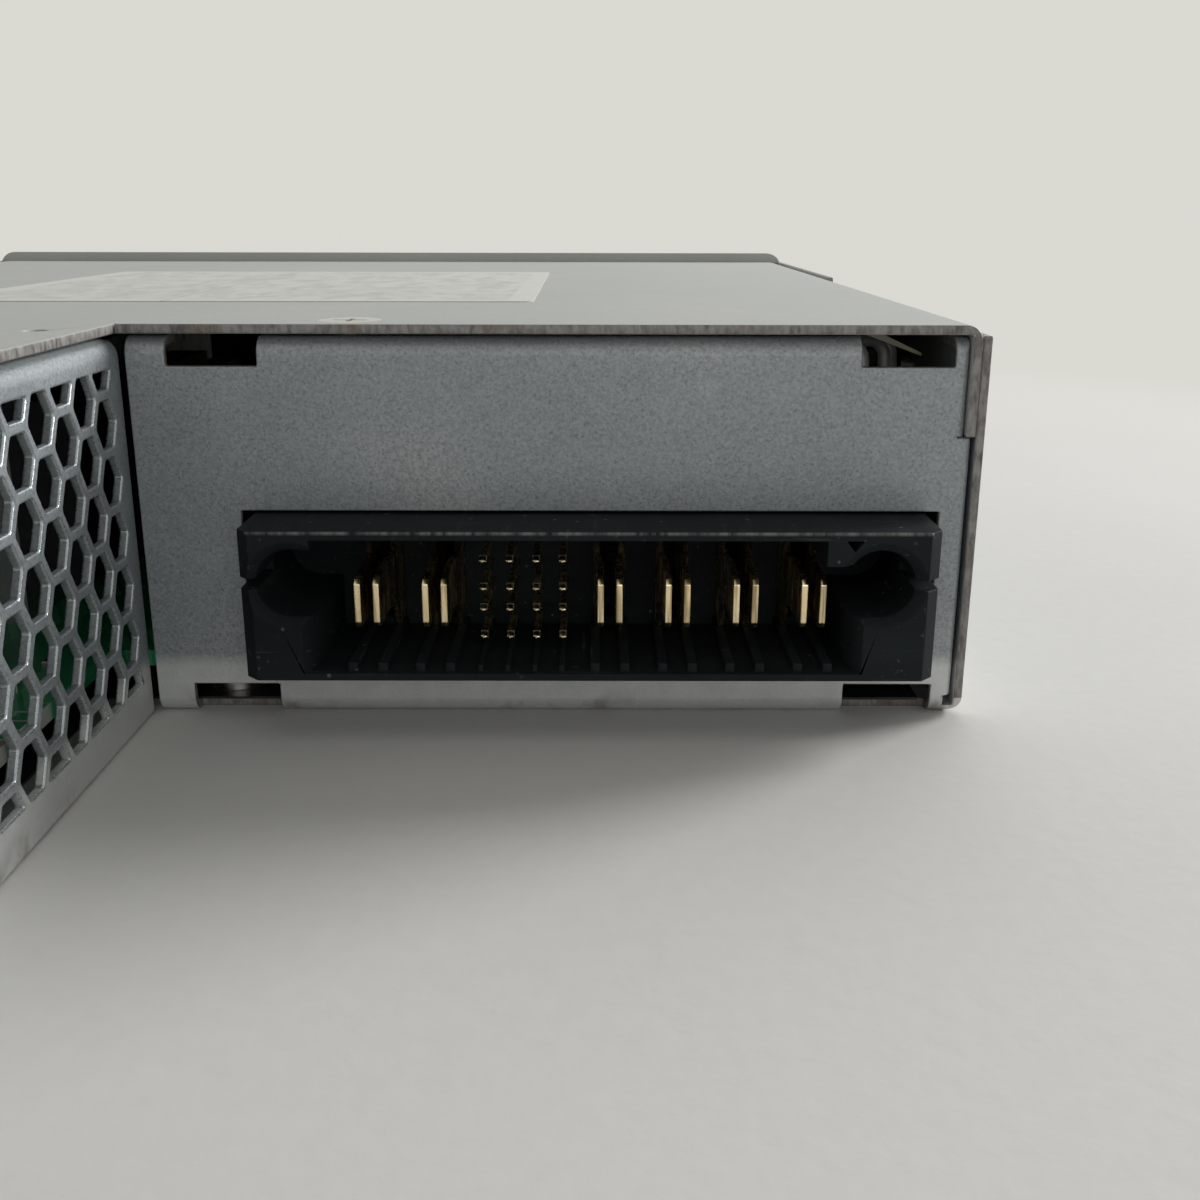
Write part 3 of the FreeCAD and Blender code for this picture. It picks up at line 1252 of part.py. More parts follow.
def inlet_pins():
    """Line, neutral and earth pins with their rear tabs."""
    pins = []
    for dx, dz in INLET_PIN_PLACES:
        x, z = INLET_X + dx, INLET_Z + dz
        pins.append(block(x - 1, FRONT - 24, z - 2, x + 1, FRONT - 1.5, z + 2))
    return finish("inlet_pins", grouped(pins))


def handle():
    """A rounded bar bent into a loop, with two feet against the panel."""
    body = body_at("handle", HANDLE_X, FRONT, MIDDLE_Z)
    half = S["handle_span"] / 2
    thick = S["handle_thick"] / 2
    reach = S["handle_reach"]
    bar = sketch_on(body, "XY_Plane", -S["handle_tall"] / 2)
    corner = 5.0
    outline(bar, [(-half - thick, 0), (-half + thick, 0), (-half + thick, reach - 2 * thick),
                  (half - thick, reach - 2 * thick), (half - thick, 0), (half + thick, 0),
                  (half + thick, reach), (-half - thick, reach)])
    solid = pad(body, bar, S["handle_tall"])

    def outer_corner(edge, at):
        return runs_along(edge, 2) and near(at.y, reach)

    solid = round_edges(body, solid, corner + 2, outer_corner)

    def inner_corner(edge, at):
        return runs_along(edge, 2) and near(at.y, reach - 2 * thick)

    solid = round_edges(body, solid, corner - 2, inner_corner)

    def long_edge(edge, at):
        return near(abs(at.z), S["handle_tall"] / 2) and at.y > 0.01

    round_edges(body, solid, 0.8, long_edge, chamfer=True)
    holes = sketch_on(body, "XZ_Plane", 1)
    for side in (-half, half):
        circle(holes, side, -4.5, 1.0)
        circle(holes, side, 4.5, 1.0)
    pocket(body, holes, 9)
    return body


def handle_screws():
    """Screws from behind the panel into the feet of the handle."""
    screws = []
    for side in (-0.5, 0.5):
        for dz in (-4.5, 4.5):
            x, z = HANDLE_X + S["handle_span"] * side, MIDDLE_Z + dz
            head = cylinder(x, PANEL_BACK, z, 2.2, 1.4, (0, -1, 0))
            screws.append(fused([head, cylinder(x, PANEL_BACK, z, 1.0, SHEET + 7, (0, 1, 0))]))
    return finish("handle_screws", grouped(screws))


def release_latch():
    """A lever on an upright pin: the nose catches the chassis, the tab stands out of the panel."""
    body = body_at("release_latch", LATCH_X, LATCH_Y, LATCH_LOW)
    plan = sketch_on(body, "XY_Plane")
    reach = S["pivot_depth"]
    nose = SIDE - LATCH_X + S["latch_throw"]
    outline(plan, [(-1.0, -2.0), (2.6, -2.0), (2.6, 11.5), (nose, 12.5), (nose, 14.5), (2.6, 19.0),
                   (1.2, 21.0), (1.2, reach + 2), (1.8, reach + 13), (0, reach + 14), (-1.4, reach + 13),
                   (-1.0, reach)])
    pad(body, plan, S["latch_tall"])
    boss = sketch_on(body, "XY_Plane")
    circle(boss, 0, 0, S["pivot_radius"] + 1.1)
    pad(body, boss, S["latch_tall"])
    bore = sketch_on(body, "XY_Plane", S["latch_tall"] + 1)
    circle(bore, 0, 0, S["pivot_radius"] + S["running_gap"])
    pocket(body, bore, S["latch_tall"] + 2)
    return body


def latch_bracket():
    """A channel riveted to the side wall, whose two ears hold the pivot pin."""
    high = S["latch_tall"] + 2.4
    body = body_at("latch_bracket", LATCH_X, LATCH_Y, LATCH_LOW)
    profile = sketch_on(body, "XZ_Plane", -6)
    wall = SIDE - SHEET - LATCH_X
    web = wall - S["bracket_sheet"]
    outline(profile, [(wall, -4.2), (wall, high), (-4, high), (-4, high - 1.2), (web, high - 1.2),
                      (web, -3.0), (-4, -3.0), (-4, -4.2)])
    pad(body, profile, 12)
    bore = sketch_on(body, "XY_Plane", high + 1)
    circle(bore, 0, 0, S["pivot_radius"])
    pocket(body, bore, high + 8)
    return body


def latch_pivot_pin():
    """Upright pin of the release latch, pressed into the two ears."""
    head = cylinder(LATCH_X, LATCH_Y, LATCH_LOW + S["latch_tall"] + 2.4, 2.3, 0.8)
    shank = cylinder(LATCH_X, LATCH_Y, LATCH_LOW - 4.8, S["pivot_radius"], S["latch_tall"] + 7.2)
    return finish("latch_pivot_pin", fused([head, shank]))


def latch_spring():
    """Torsion spring around the pivot pin: three square turns, a leg on the wall, a hook on the lever."""
    inner, outer, rise, wire = 2.05, 2.75, 0.75, 0.6
    low = LATCH_LOW - 2.7
    ingredients = []
    for step in range(3):
        level = low + rise * step
        ingredients.append(cut(cylinder(LATCH_X, LATCH_Y, level, outer, wire),
                               cylinder(LATCH_X, LATCH_Y, level - 1, inner, wire + 2)))
    high = low + rise * 2 + wire
    ingredients.append(block(LATCH_X + inner, LATCH_Y - 0.3, low, LATCH_X + outer, LATCH_Y + 0.3, high))
    ingredients.append(block(LATCH_X + inner, LATCH_Y - 5, low, LATCH_X + outer, LATCH_Y, low + wire))
    ingredients.append(block(LATCH_X - outer, LATCH_Y, high - wire, LATCH_X - inner, LATCH_Y + 10, high))
    ingredients.append(block(LATCH_X - outer, LATCH_Y + 9.4, high - wire, LATCH_X - 1, LATCH_Y + 10, high))
    ingredients.append(block(LATCH_X - 1.6, LATCH_Y + 9.4, high - wire, LATCH_X - 1, LATCH_Y + 10,
                             LATCH_LOW + 3))
    return finish("latch_spring", fused(ingredients))


def status_lights():
    """Three light pipes beside the handle."""
    pipes = []
    for step in range(3):
        z = MIDDLE_Z - 9 + 9 * step
        pipes.append(fused([cylinder(LIGHT_X, PANEL_BACK - 6, z, 1.25, 6 + SHEET, (0, 1, 0)),
                            cylinder(LIGHT_X, FRONT, z, 1.6, 0.6, (0, 1, 0))]))
    return finish("status_lights", grouped(pipes))


PIECES = [base_tray, vent_panel, end_grille, top_cover, cover_screws,
          connector_shell, power_blades, signal_pins,
          main_board, insulation_sheet, standoffs, board_screws, control_board, control_chips,
          bulk_capacitors, output_choke_core, output_choke_winding, choke_stand, pfc_choke_core,
          pfc_choke_winding,
          line_choke_core, line_choke_windings, output_capacitors, transformer_core, transformer_winding,
          standby_transformer, primary_heat_sink, primary_transistors, bridge_rectifier,
          secondary_heat_sink, secondary_transistors, film_capacitors, inrush_relay, line_fuse, cover_film,
          front_panel, left_fan_frame, right_fan_frame, left_fan_rotor, right_fan_rotor, fan_screws,
          ac_inlet, inlet_pins, handle, handle_screws, release_latch, latch_bracket, latch_pivot_pin,
          latch_spring, status_lights]


def main():
    """Build every piece, test the document and write one file for each piece."""
    for make in PIECES:
        make()
    doc.recompute()
    for thing in doc.Objects:
        if "Invalid" in thing.State or "Error" in thing.State:
            raise RuntimeError("failed object: %s %s" % (thing.Name, owner_of(thing)))
    os.makedirs("parts", exist_ok=True)
    for thing in FINISHED:
        shape = thing.Shape
        if shape.isNull() or not shape.isValid():
            raise RuntimeError("bad shape: " + thing.Label)
        shape.exportStep("parts/%s.step" % thing.Label)
        print(thing.Label, len(shape.Solids), round(shape.Volume, 1))


def owner_of(thing):
    """The label of the body that holds a feature."""
    holder = thing.getParentGeoFeatureGroup() if hasattr(thing, "getParentGeoFeatureGroup") else None
    return holder.Label if holder else thing.Label


main()
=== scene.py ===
"""Visual model of a hot swap server power supply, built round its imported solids.

Sizes are metres in the model's own frame: X to the right, Y from the connector
end to the fan end, Z up from the face that it rests on.
"""
from __future__ import annotations

import json
import logging
import math
from dataclasses import dataclass
from enum import Enum
from typing import Any, Sequence
import bmesh
import bpy
from mathutils import Matrix, Vector


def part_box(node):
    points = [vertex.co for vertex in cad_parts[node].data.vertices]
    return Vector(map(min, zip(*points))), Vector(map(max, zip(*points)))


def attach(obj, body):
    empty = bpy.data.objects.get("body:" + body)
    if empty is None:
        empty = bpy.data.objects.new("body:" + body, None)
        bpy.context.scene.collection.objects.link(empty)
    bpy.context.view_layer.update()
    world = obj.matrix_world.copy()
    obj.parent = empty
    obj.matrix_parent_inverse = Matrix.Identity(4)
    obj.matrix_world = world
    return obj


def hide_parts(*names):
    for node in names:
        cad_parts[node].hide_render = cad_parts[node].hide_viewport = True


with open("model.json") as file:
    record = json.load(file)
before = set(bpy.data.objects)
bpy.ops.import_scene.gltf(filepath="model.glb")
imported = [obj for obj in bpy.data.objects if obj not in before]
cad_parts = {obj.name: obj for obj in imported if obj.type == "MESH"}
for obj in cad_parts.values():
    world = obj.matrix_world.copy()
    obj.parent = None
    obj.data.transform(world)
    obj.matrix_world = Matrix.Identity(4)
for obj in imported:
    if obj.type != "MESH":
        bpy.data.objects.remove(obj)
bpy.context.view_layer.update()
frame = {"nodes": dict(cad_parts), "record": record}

MM = 0.001
Colour = tuple[float, float, float]

log = logging.getLogger("power_supply")


class Body(str, Enum):
    """The bodies that move as one."""

    CASE = "case"
    LEFT_ROTOR = "left_rotor"
    RIGHT_ROTOR = "right_rotor"
    LATCH = "latch"


def shown(name: str, data: bpy.types.ID) -> bpy.types.Object:
    """Adds an object with that data to the scene."""
    made = bpy.data.objects.new(name, data)
    bpy.context.scene.collection.objects.link(made)
    return made


def meshed(work: bmesh.types.BMesh, name: str) -> bpy.types.Mesh:
    """A new mesh of a shape, which is freed."""
    mesh = bpy.data.meshes.new(name)
    work.to_mesh(mesh)
    work.free()
    return mesh


def put(thing: Any, **settings: Any) -> Any:
    """Sets some of a thing's properties and hands it back."""
    for key, value in settings.items():
        setattr(thing, key, value)
    return thing


# ---------------------------------------------------------------- node trees


def _operator(operation: str, swapped: bool = False) -> Any:
    """A method that adds one Math node; swapped puts the other value first."""

    def method(self: "Term", other: Any) -> "Term":
        """The result of the operation."""
        return self._math(operation, *((other, self) if swapped else (self, other)))

    return method


class Term:
    """A node's output that takes part in ordinary arithmetic."""

    def __init__(self, tree: "Tree", socket: bpy.types.NodeSocket) -> None:
        """Keeps the tree and the socket."""
        self.tree = tree
        self.socket = socket

    def _math(self, operation: str, first: Any, second: Any, clamp: bool = False) -> "Term":
        """Adds one Math node."""
        settings = {"operation": operation, "use_clamp": clamp}
        return self.tree.node("ShaderNodeMath", settings, {0: first, 1: second})

    __add__ = __radd__ = _operator("ADD")
    __mul__ = __rmul__ = _operator("MULTIPLY")
    __sub__ = _operator("SUBTRACT")
    __rsub__ = _operator("SUBTRACT", swapped=True)
    __truediv__ = _operator("DIVIDE")
    #: 1 where the comparison is true, else 0
    __gt__ = _operator("GREATER_THAN")
    __lt__ = _operator("LESS_THAN")

    def __abs__(self) -> "Term":
        """The size of self without its sign."""
        return self._math("ABSOLUTE", self, 0.0)

    def held(self) -> "Term":
        """self, kept between 0 and 1."""
        return self._math("ADD", self, 0.0, clamp=True)

    def ramp(self, start: float, end: float) -> "Term":
        """0 below start, 1 past end and straight between them.

        Args:
            start: where the ramp leaves 0.
            end: where it reaches 1; less than start turns it round.

        Returns:
            The ramp's value.
        """
        return ((self - start) / (end - start)).held()


class Tree:
    """A node tree that nodes are added to in one way."""

    def __init__(self, tree: bpy.types.NodeTree) -> None:
        """Empties the tree and keeps it."""
        tree.nodes.clear()
        self.tree = tree

    def feed(self, socket: bpy.types.NodeSocket, value: Any) -> None:
        """Links a term to a socket, or sets its plain value."""
        if isinstance(value, Term):
            self.tree.links.new(value.socket, socket)
        elif socket.type == "RGBA" and len(value) == 3:
            socket.default_value = (*value, 1.0)
        else:
            socket.default_value = value

    @staticmethod
    def pick(sockets: Any, key: int | str) -> bpy.types.NodeSocket:
        """The socket of that number, identifier or name.

        Args:
            sockets: a node's inputs or outputs.
            key: its number, identifier or shown name.

        Returns:
            The socket.
        """
        if isinstance(key, int):
            return sockets[key]
        exact = [socket for socket in sockets if socket.identifier == key]
        named = [socket for socket in sockets if socket.name == key and socket.enabled]
        return (exact + named)[0]

    def node(
        self,
        kind: str,
        settings: dict[str, Any] | None = None,
        sockets: dict[int | str, Any] | None = None,
        out: int | str = 0,
    ) -> Term:
        """Adds one node.

        Args:
            kind: the node's type.
            settings: its own properties, set first.
            sockets: values or terms for its inputs.
            out: which output is wanted.

        Returns:
            The output as a term.
        """
        made = put(self.tree.nodes.new(kind), **(settings or {}))
        for key, value in (sockets or {}).items():
            self.feed(self.pick(made.inputs, key), value)
        if not made.outputs:
            return Term(self, made.inputs[0])
        return Term(self, self.pick(made.outputs, out))


class Surface(Tree):
    """A material's tree, which ends in one Principled shader."""

    def __init__(self, name: str) -> None:
        """Makes the material."""
        self.material = bpy.data.materials.new(name)
        self.material.use_nodes = True
        super().__init__(self.material.node_tree)

    def place(self) -> Term:
        """Object coordinates in metres."""
        return self.node("ShaderNodeTexCoord", out="Object")

    def split(self, vector: Term) -> tuple[Term, Term, Term]:
        """A vector's X, Y and Z."""
        x = self.node("ShaderNodeSeparateXYZ", sockets={0: vector}, out=0)
        outputs = x.socket.node.outputs
        return x, Term(self, outputs[1]), Term(self, outputs[2])

    def stretch(self, vector: Term, scale: Sequence[float]) -> Term:
        """A vector times a scale on each axis."""
        settings = {"operation": "MULTIPLY"}
        return self.node("ShaderNodeVectorMath", settings, {0: vector, 1: tuple(scale)})

    def noise(self, where: Term, per_metre: float, detail: float = 2.0, rough: float = 0.5) -> Term:
        """Soft noise between 0 and 1, about 0.5.

        Args:
            where: the place that it reads.
            per_metre: how many spots lie in a metre.
            detail: how many finer layers it has.
            rough: how strong the finer layers are.

        Returns:
            The noise.
        """
        sockets = {"Vector": where, "Scale": per_metre, "Detail": detail, "Roughness": rough}
        return self.node("ShaderNodeTexNoise", {}, sockets, "Fac")

    def cells(self, where: Term, per_metre: float) -> Term:
        """Distance to the nearest of scattered points, in cells."""
        sockets = {"Vector": where, "Scale": per_metre}
        return self.node("ShaderNodeTexVoronoi", {"feature": "F1"}, sockets, "Distance")

    def mix(self, first: Any, second: Any, factor: Any) -> Term:
        """Colour between two colours.

        Args:
            first: the colour at factor 0.
            second: the colour at factor 1.
            factor: how much of the second.

        Returns:
            The colour.
        """
        sockets = {"Factor_Float": factor, "A_Color": first, "B_Color": second}
        return self.node("ShaderNodeMix", {"data_type": "RGBA"}, sockets, "Result_Color")

    def bump(self, height: Term, depth: float, strength: float = 1.0) -> Term:
        """A normal from a height.

        Args:
            height: 0 to 1.
            depth: how deep the height's range is, in metres.
            strength: how much of it shows.

        Returns:
            The normal.
        """
        sockets = {"Strength": strength, "Distance": depth, "Height": height}
        return self.node("ShaderNodeBump", {}, sockets, "Normal")

    def finish(self, **sockets: Any) -> bpy.types.Material:
        """Ends the tree in a Principled shader.

        Args:
            sockets: its inputs, with _ for a space.

        Returns:
            The material.
        """
        named = {key.replace("_", " "): value for key, value in sockets.items()}
        shader = self.node("ShaderNodeBsdfPrincipled", {}, named)
        self.node("ShaderNodeOutputMaterial", {}, {"Surface": shader})
        return self.material


class Grower(Tree):
    """A geometry tree with named sizes, which ends in real faces of one material."""

    def __init__(self, name: str) -> None:
        """Makes the empty tree."""
        self.group = bpy.data.node_groups.new(name, "GeometryNodeTree")
        self.group.interface.new_socket("Geometry", in_out="OUTPUT", socket_type="NodeSocketGeometry")
        super().__init__(self.group)
        self.source = self.group.nodes.new("NodeGroupInput")
        self.given: dict[str, float] = {}

    def size(self, name: str, value: float) -> Term:
        """A named input of the tree.

        Args:
            name: what it is called.
            value: its value, in metres where it is a length.

        Returns:
            The input as a term.
        """
        kind = "NodeSocketInt" if isinstance(value, int) else "NodeSocketFloat"
        item = self.group.interface.new_socket(name, in_out="INPUT", socket_type=kind)
        self.given[item.identifier] = value
        return Term(self, self.pick(self.source.outputs, item.identifier))

    def vector(self, x: Any = 0.0, y: Any = 0.0, z: Any = 0.0) -> Term:
        """A vector from three numbers or terms."""
        return self.node("ShaderNodeCombineXYZ", {}, {0: x, 1: y, 2: z})

    def moved(self, shape: Term, place: Any, turn: Any = (0.0, 0.0, 0.0)) -> Term:
        """A shape turned and then moved."""
        sockets = {"Geometry": shape, "Translation": place, "Rotation": turn}
        return self.node("GeometryNodeTransform", {}, sockets)

    def joined(self, *shapes: Term) -> Term:
        """Several shapes as one."""
        made = self.tree.nodes.new("GeometryNodeJoinGeometry")
        for shape in shapes:
            self.tree.links.new(shape.socket, made.inputs[0])
        return Term(self, made.outputs[0])

    def chance(self, low: Any, high: Any, seed: int) -> Term:
        """A fixed random number for each point."""
        settings = {"data_type": "FLOAT"}
        sockets = {"Min_001": low, "Max_001": high, "Seed": seed}
        return self.node("FunctionNodeRandomValue", settings, sockets, "Value_001")

    def spread(self, points: Term, shape: Term, turn: Any = (0, 0, 0), scale: Any = (1, 1, 1)) -> Term:
        """A shape repeated on points."""
        sockets = {"Points": points, "Instance": shape, "Rotation": turn, "Scale": scale}
        return self.node("GeometryNodeInstanceOnPoints", {}, sockets)

    def grow(self, shape: Term, material: bpy.types.Material) -> bpy.types.Mesh:
        """Ends the tree and makes a plain mesh of it.

        Args:
            shape: what the tree has made.
            material: what it is made of.

        Returns:
            The mesh.
        """
        real = self.node("GeometryNodeRealizeInstances", {}, {0: shape})
        dressed = self.node("GeometryNodeSetMaterial", {}, {"Geometry": real, "Material": material})
        self.node("NodeGroupOutput", {}, {0: dressed})
        holder = shown("holder", bpy.data.meshes.new("holder"))
        grown = put(holder.modifiers.new("grown", "NODES"), node_group=self.group)
        for identifier, value in self.given.items():
            grown[identifier] = value
        return baked(holder)


# ------------------------------------------------------------------ finishes


@dataclass(frozen=True)
class Finish:
    """A named surface, painted by its subclasses."""

    name: str

    def make(self) -> bpy.types.Material:
        """Builds the material."""
        surface = Surface(self.name)
        return self.paint(surface, surface.place())

    def paint(self, s: Surface, where: Term) -> bpy.types.Material:
        """Fills the surface's tree.

        Args:
            s: the surface.
            where: its object coordinates.

        Returns:
            The material.
        """
        raise NotImplementedError(self.name)


@dataclass(frozen=True)
class PlatedSteel(Finish):
    """Zinc plated sheet: a fine dark grain, faint clouds, dull brown worn marks near the edges and a painted
    paler band along the bottom, standing in for light bounced up from the floor.
    """

    pale: Colour = (0.345, 0.375, 0.387)
    dark: Colour = (0.195, 0.215, 0.224)
    rubbed: Colour = (0.50, 0.475, 0.44)
    # painted light: the paler colour of the bottom strip, standing in for light bounced up from the floor
    painted_floor_light: Colour = (0.72, 0.73, 0.71)
    brown: Colour = (0.16, 0.115, 0.085)
    grain: float = 1.0
    # scales the rubbed and brown marks and also the painted floor light along the bottom
    wear_and_floor_light: float = 1.0
    roughness: float = 0.44
    metallic: float = 0.35
    shine: float = 0.5

    def paint(self, s: Surface, where: Term) -> bpy.types.Material:
        """Paints the surface."""
        pores = s.noise(where, 2900.0, 3.0, 0.7)
        speck = s.noise(where, 3700.0, 2.0, 0.6).ramp(0.55, 0.68)
        blotch = s.noise(where, 260.0, 3.0, 0.6)
        cloud = s.noise(where, 34.0, 3.0, 0.55)
        tone = (pores.ramp(0.34, 0.64) * 0.62 * self.grain + blotch.ramp(0.3, 0.7) * 0.14
                + cloud.ramp(0.3, 0.7) * 0.34 + 0.30 * (1.0 - self.grain))
        colour = s.mix(self.dark, self.pale, tone.held())
        colour = s.mix(colour, self.rubbed, (cloud.ramp(0.56, 0.74) * pores.ramp(0.4, 0.6)) * 0.5 * self.wear_and_floor_light)
        colour = s.mix(colour, tuple(0.45 * c for c in self.dark), speck * 0.42 * self.grain)
        _, _, height = s.split(where)
        # painted light: below about 6 mm the sheet turns paler, standing in for light bounced up from the
        # floor
        foot = height.ramp(6.4 * MM, 5.0 * MM)
        colour = s.mix(colour, self.painted_floor_light, foot * (blotch * 0.5 + 0.45) * self.wear_and_floor_light)
        rim = height.ramp(3.4 * MM, 0.8 * MM) * blotch.ramp(0.50, 0.64)
        colour = s.mix(colour, self.brown, rim * cloud.ramp(0.42, 0.56) * 0.6 * self.wear_and_floor_light)
        rough = pores * 0.20 + cloud * 0.14 + (self.roughness - 0.16)
        return s.finish(
            Base_Color=colour,
            Roughness=rough.held(),
            Metallic=self.metallic,
            Specular_IOR_Level=self.shine,
            Normal=s.bump(pores * 0.8 + speck * 0.5, 0.00005, 0.35),
        )


@dataclass(frozen=True)
class CutEdge(Finish):
    """The sheared edge of a sheet: dull brown grey with fine lines across the thickness."""

    pale: Colour = (0.27, 0.26, 0.245)
    dark: Colour = (0.10, 0.09, 0.085)
    rust: Colour = (0.14, 0.085, 0.055)

    def paint(self, s: Surface, where: Term) -> bpy.types.Material:
        """Paints the surface."""
        lines = s.noise(s.stretch(where, (1.0, 1.0, 0.35)), 1900.0, 3.0, 0.6)
        stain = s.noise(where, 210.0, 3.0, 0.65)
        colour = s.mix(self.dark, self.pale, lines.ramp(0.3, 0.62))
        colour = s.mix(colour, self.rust, stain.ramp(0.53, 0.68) * 0.6)
        return s.finish(
            Base_Color=colour,
            Roughness=(lines * 0.3 + 0.34).held(),
            Metallic=0.3,
            Normal=s.bump(lines, 0.00004, 0.5),
        )


@dataclass(frozen=True)
class Moulded(Finish):
    """Moulded plastic: a fine skin, faint flow marks and pale scuffs."""

    colour: Colour
    scuff: Colour = (0.11, 0.115, 0.12)
    scuffs: float = 0.35
    roughness: float = 0.46
    shine: float = 0.28
    worn: tuple[float, float] | None = None

    def paint(self, s: Surface, where: Term) -> bpy.types.Material:
        """Paints the surface; worn is the Y and Z of one long edge that is rubbed pale."""
        skin = s.noise(where, 2600.0, 2.0)
        flow = s.noise(s.stretch(where, (0.35, 1.0, 1.0)), 160.0, 3.0)
        along = s.noise(s.stretch(where, (1.0, 0.05, 1.0)), 1700.0, 2.0).ramp(0.67, 0.78)
        across = s.noise(s.stretch(where, (0.05, 1.0, 1.0)), 1900.0, 2.0).ramp(0.69, 0.8)
        specks = s.cells(where, 420.0).ramp(0.10, 0.06)
        marks = ((along + across * 0.6) * flow.ramp(0.38, 0.66) + specks * 0.8).held()
        colour = s.mix(self.colour, tuple(1.7 * c for c in self.colour), flow.ramp(0.3, 0.7))
        colour = s.mix(colour, self.scuff, marks * self.scuffs)
        if self.worn:
            _, *across_edge = s.split(where)
            beside_y, beside_z = (
                abs(at - edge * MM).ramp(0.34 * MM, 0.12 * MM) for at, edge in zip(across_edge, self.worn)
            )
            near = beside_y * beside_z
            rubs = s.noise(s.stretch(where, (1.0, 0.1, 0.1)), 900.0, 4.0, 0.7).ramp(0.36, 0.6)
            colour = s.mix(colour, self.scuff, near * rubs * 0.8)
            drag = s.noise(s.stretch(where, (1.0, 0.03, 0.3)), 620.0, 3.0, 0.6).ramp(0.55, 0.72)
            above = (across_edge[1] - (self.worn[1] - 0.2) * MM) > 0.0
            colour = s.mix(colour, self.scuff, drag * above * skin.ramp(0.4, 0.6) * 0.16)
        rough = flow * 0.18 + skin * 0.1 + (self.roughness - 0.14)
        return s.finish(
            Base_Color=colour,
            Roughness=rough.held(),
            Specular_IOR_Level=self.shine,
            Normal=s.bump(skin + marks * 0.5, 0.00003, 0.5),
        )


@dataclass(frozen=True)
class Metal(Finish):
    """Bare or plated metal with fine drawn lines, a slight tarnish and optional dark vertical lanes that
    paint reflections of dark surroundings.
    """

    bright: Colour
    dull: Colour
    roughness: float = 0.25
    lines: tuple[float, float, float] = (1.0, 1.0, 0.05)
    scale: float = 1400.0
    metallic: float = 1.0
    # strength of the painted dark reflections: vertical lanes that stand in for dark surroundings mirrored in
    # the metal
    painted_reflection_streaks: float = 0.0

    def paint(self, s: Surface, where: Term) -> bpy.types.Material:
        """Paints the surface."""
        drawn = s.noise(s.stretch(where, self.lines), self.scale, 3.0)
        stain = s.noise(where, 300.0, 3.0).ramp(0.4, 0.7)
        colour = s.mix(self.bright, self.dull, stain * 0.7)
        # painted reflection: dark vertical lanes standing in for the dark cavity mirrored in the gold sides
        if self.painted_reflection_streaks:
            dark_reflection_lanes = s.noise(s.stretch(where, (1.0, 0.4, 0.06)), 1900.0, 2.0, 0.6).ramp(0.46, 0.62)
            colour = s.mix(colour, tuple(0.28 * c for c in self.dull), dark_reflection_lanes * self.painted_reflection_streaks)
        rough = drawn * 0.2 + stain * 0.15 + (self.roughness - 0.12)
        return s.finish(
            Base_Color=colour,
            Metallic=self.metallic,
            Roughness=rough.held(),
            Normal=s.bump(drawn, 0.00002, 0.4),
        )


@dataclass(frozen=True)
class CircuitBoard(Finish):
    """Green solder mask with buried tracks, pads and pale printed outlines."""

    mask: Colour = (0.022, 0.27, 0.115)
    copper: Colour = (0.07, 0.42, 0.20)
    ink: Colour = (0.62, 0.64, 0.58)
    pad: Colour = (0.52, 0.50, 0.46)

    def paint(self, s: Surface, where: Term) -> bpy.types.Material:
        """Paints the surface."""
        x, y, _ = s.split(where)
        patch = s.cells(s.stretch(where, (1.0, 0.6, 0.0)), 95.0)
        track = (abs(s.node("ShaderNodeMath", {"operation": "PINGPONG"}, {0: x + y * 0.5, 1: 0.0016})
                     - 0.0008) < 0.0005) * patch.ramp(0.5, 0.52)
        bricks = {"Vector": where, "Scale": 120.0, "Mortar Size": 0.02, "Color1": (0, 0, 0),
                  "Color2": (0, 0, 0), "Mortar": (1, 1, 1)}
        lines = s.node("ShaderNodeTexBrick", {}, bricks, "Fac")
        print_mask = lines * s.noise(where, 40.0, 1.0).ramp(0.5, 0.52)
        dots = s.cells(where, 210.0).ramp(0.26, 0.24) * s.noise(where, 55.0, 1.0).ramp(0.5, 0.53)
        colour = s.mix(self.mask, self.copper, track)
        colour = s.mix(colour, self.pad, dots)
        colour = s.mix(colour, self.ink, print_mask * (1.0 - dots))
        return s.finish(
            Base_Color=colour,
            Roughness=(0.32 - dots * 0.08).held(),
            Metallic=dots * 0.6,
            Normal=s.bump(track + dots + print_mask, 0.00003, 0.8),
        )


@dataclass(frozen=True)
class Wire(Finish):
    """Enamelled winding wire."""

    colour: Colour
    glow: Colour
    roughness: float = 0.28
    metallic: float = 0.6

    def paint(self, s: Surface, where: Term) -> bpy.types.Material:
        """Paints the surface."""
        spots = s.noise(where, 420.0, 3.0)
        colour = s.mix(self.colour, self.glow, spots.ramp(0.35, 0.7))
        rough = spots * 0.2 + (self.roughness - 0.08)
        return s.finish(
            Base_Color=colour,
            Metallic=self.metallic,
            Roughness=rough.held(),
            Normal=s.bump(spots, 0.00003, 0.5),
        )


@dataclass(frozen=True)
class Coated(Finish):
    """A dull coated or printed surface, such as ferrite, tape, paper or a sleeve."""

    colour: Colour
    other: Colour
    roughness: float = 0.6
    spots: float = 350.0
    depth: float = 0.00004
    coat: float = 0.0
    metallic: float = 0.0

    def paint(self, s: Surface, where: Term) -> bpy.types.Material:
        """Paints the surface."""
        broad = s.noise(where, self.spots, 3.0, 0.6)
        fine = s.noise(where, self.spots * 9.0, 2.0)
        colour = s.mix(self.colour, self.other, (broad * 0.7 + fine * 0.3).ramp(0.35, 0.65))
        rough = fine * 0.14 + (self.roughness - 0.07)
        return s.finish(
            Base_Color=colour,
            Metallic=self.metallic,
            Roughness=rough.held(),
            Coat_Weight=self.coat,
            Normal=s.bump(fine + broad, self.depth, 0.5),
        )


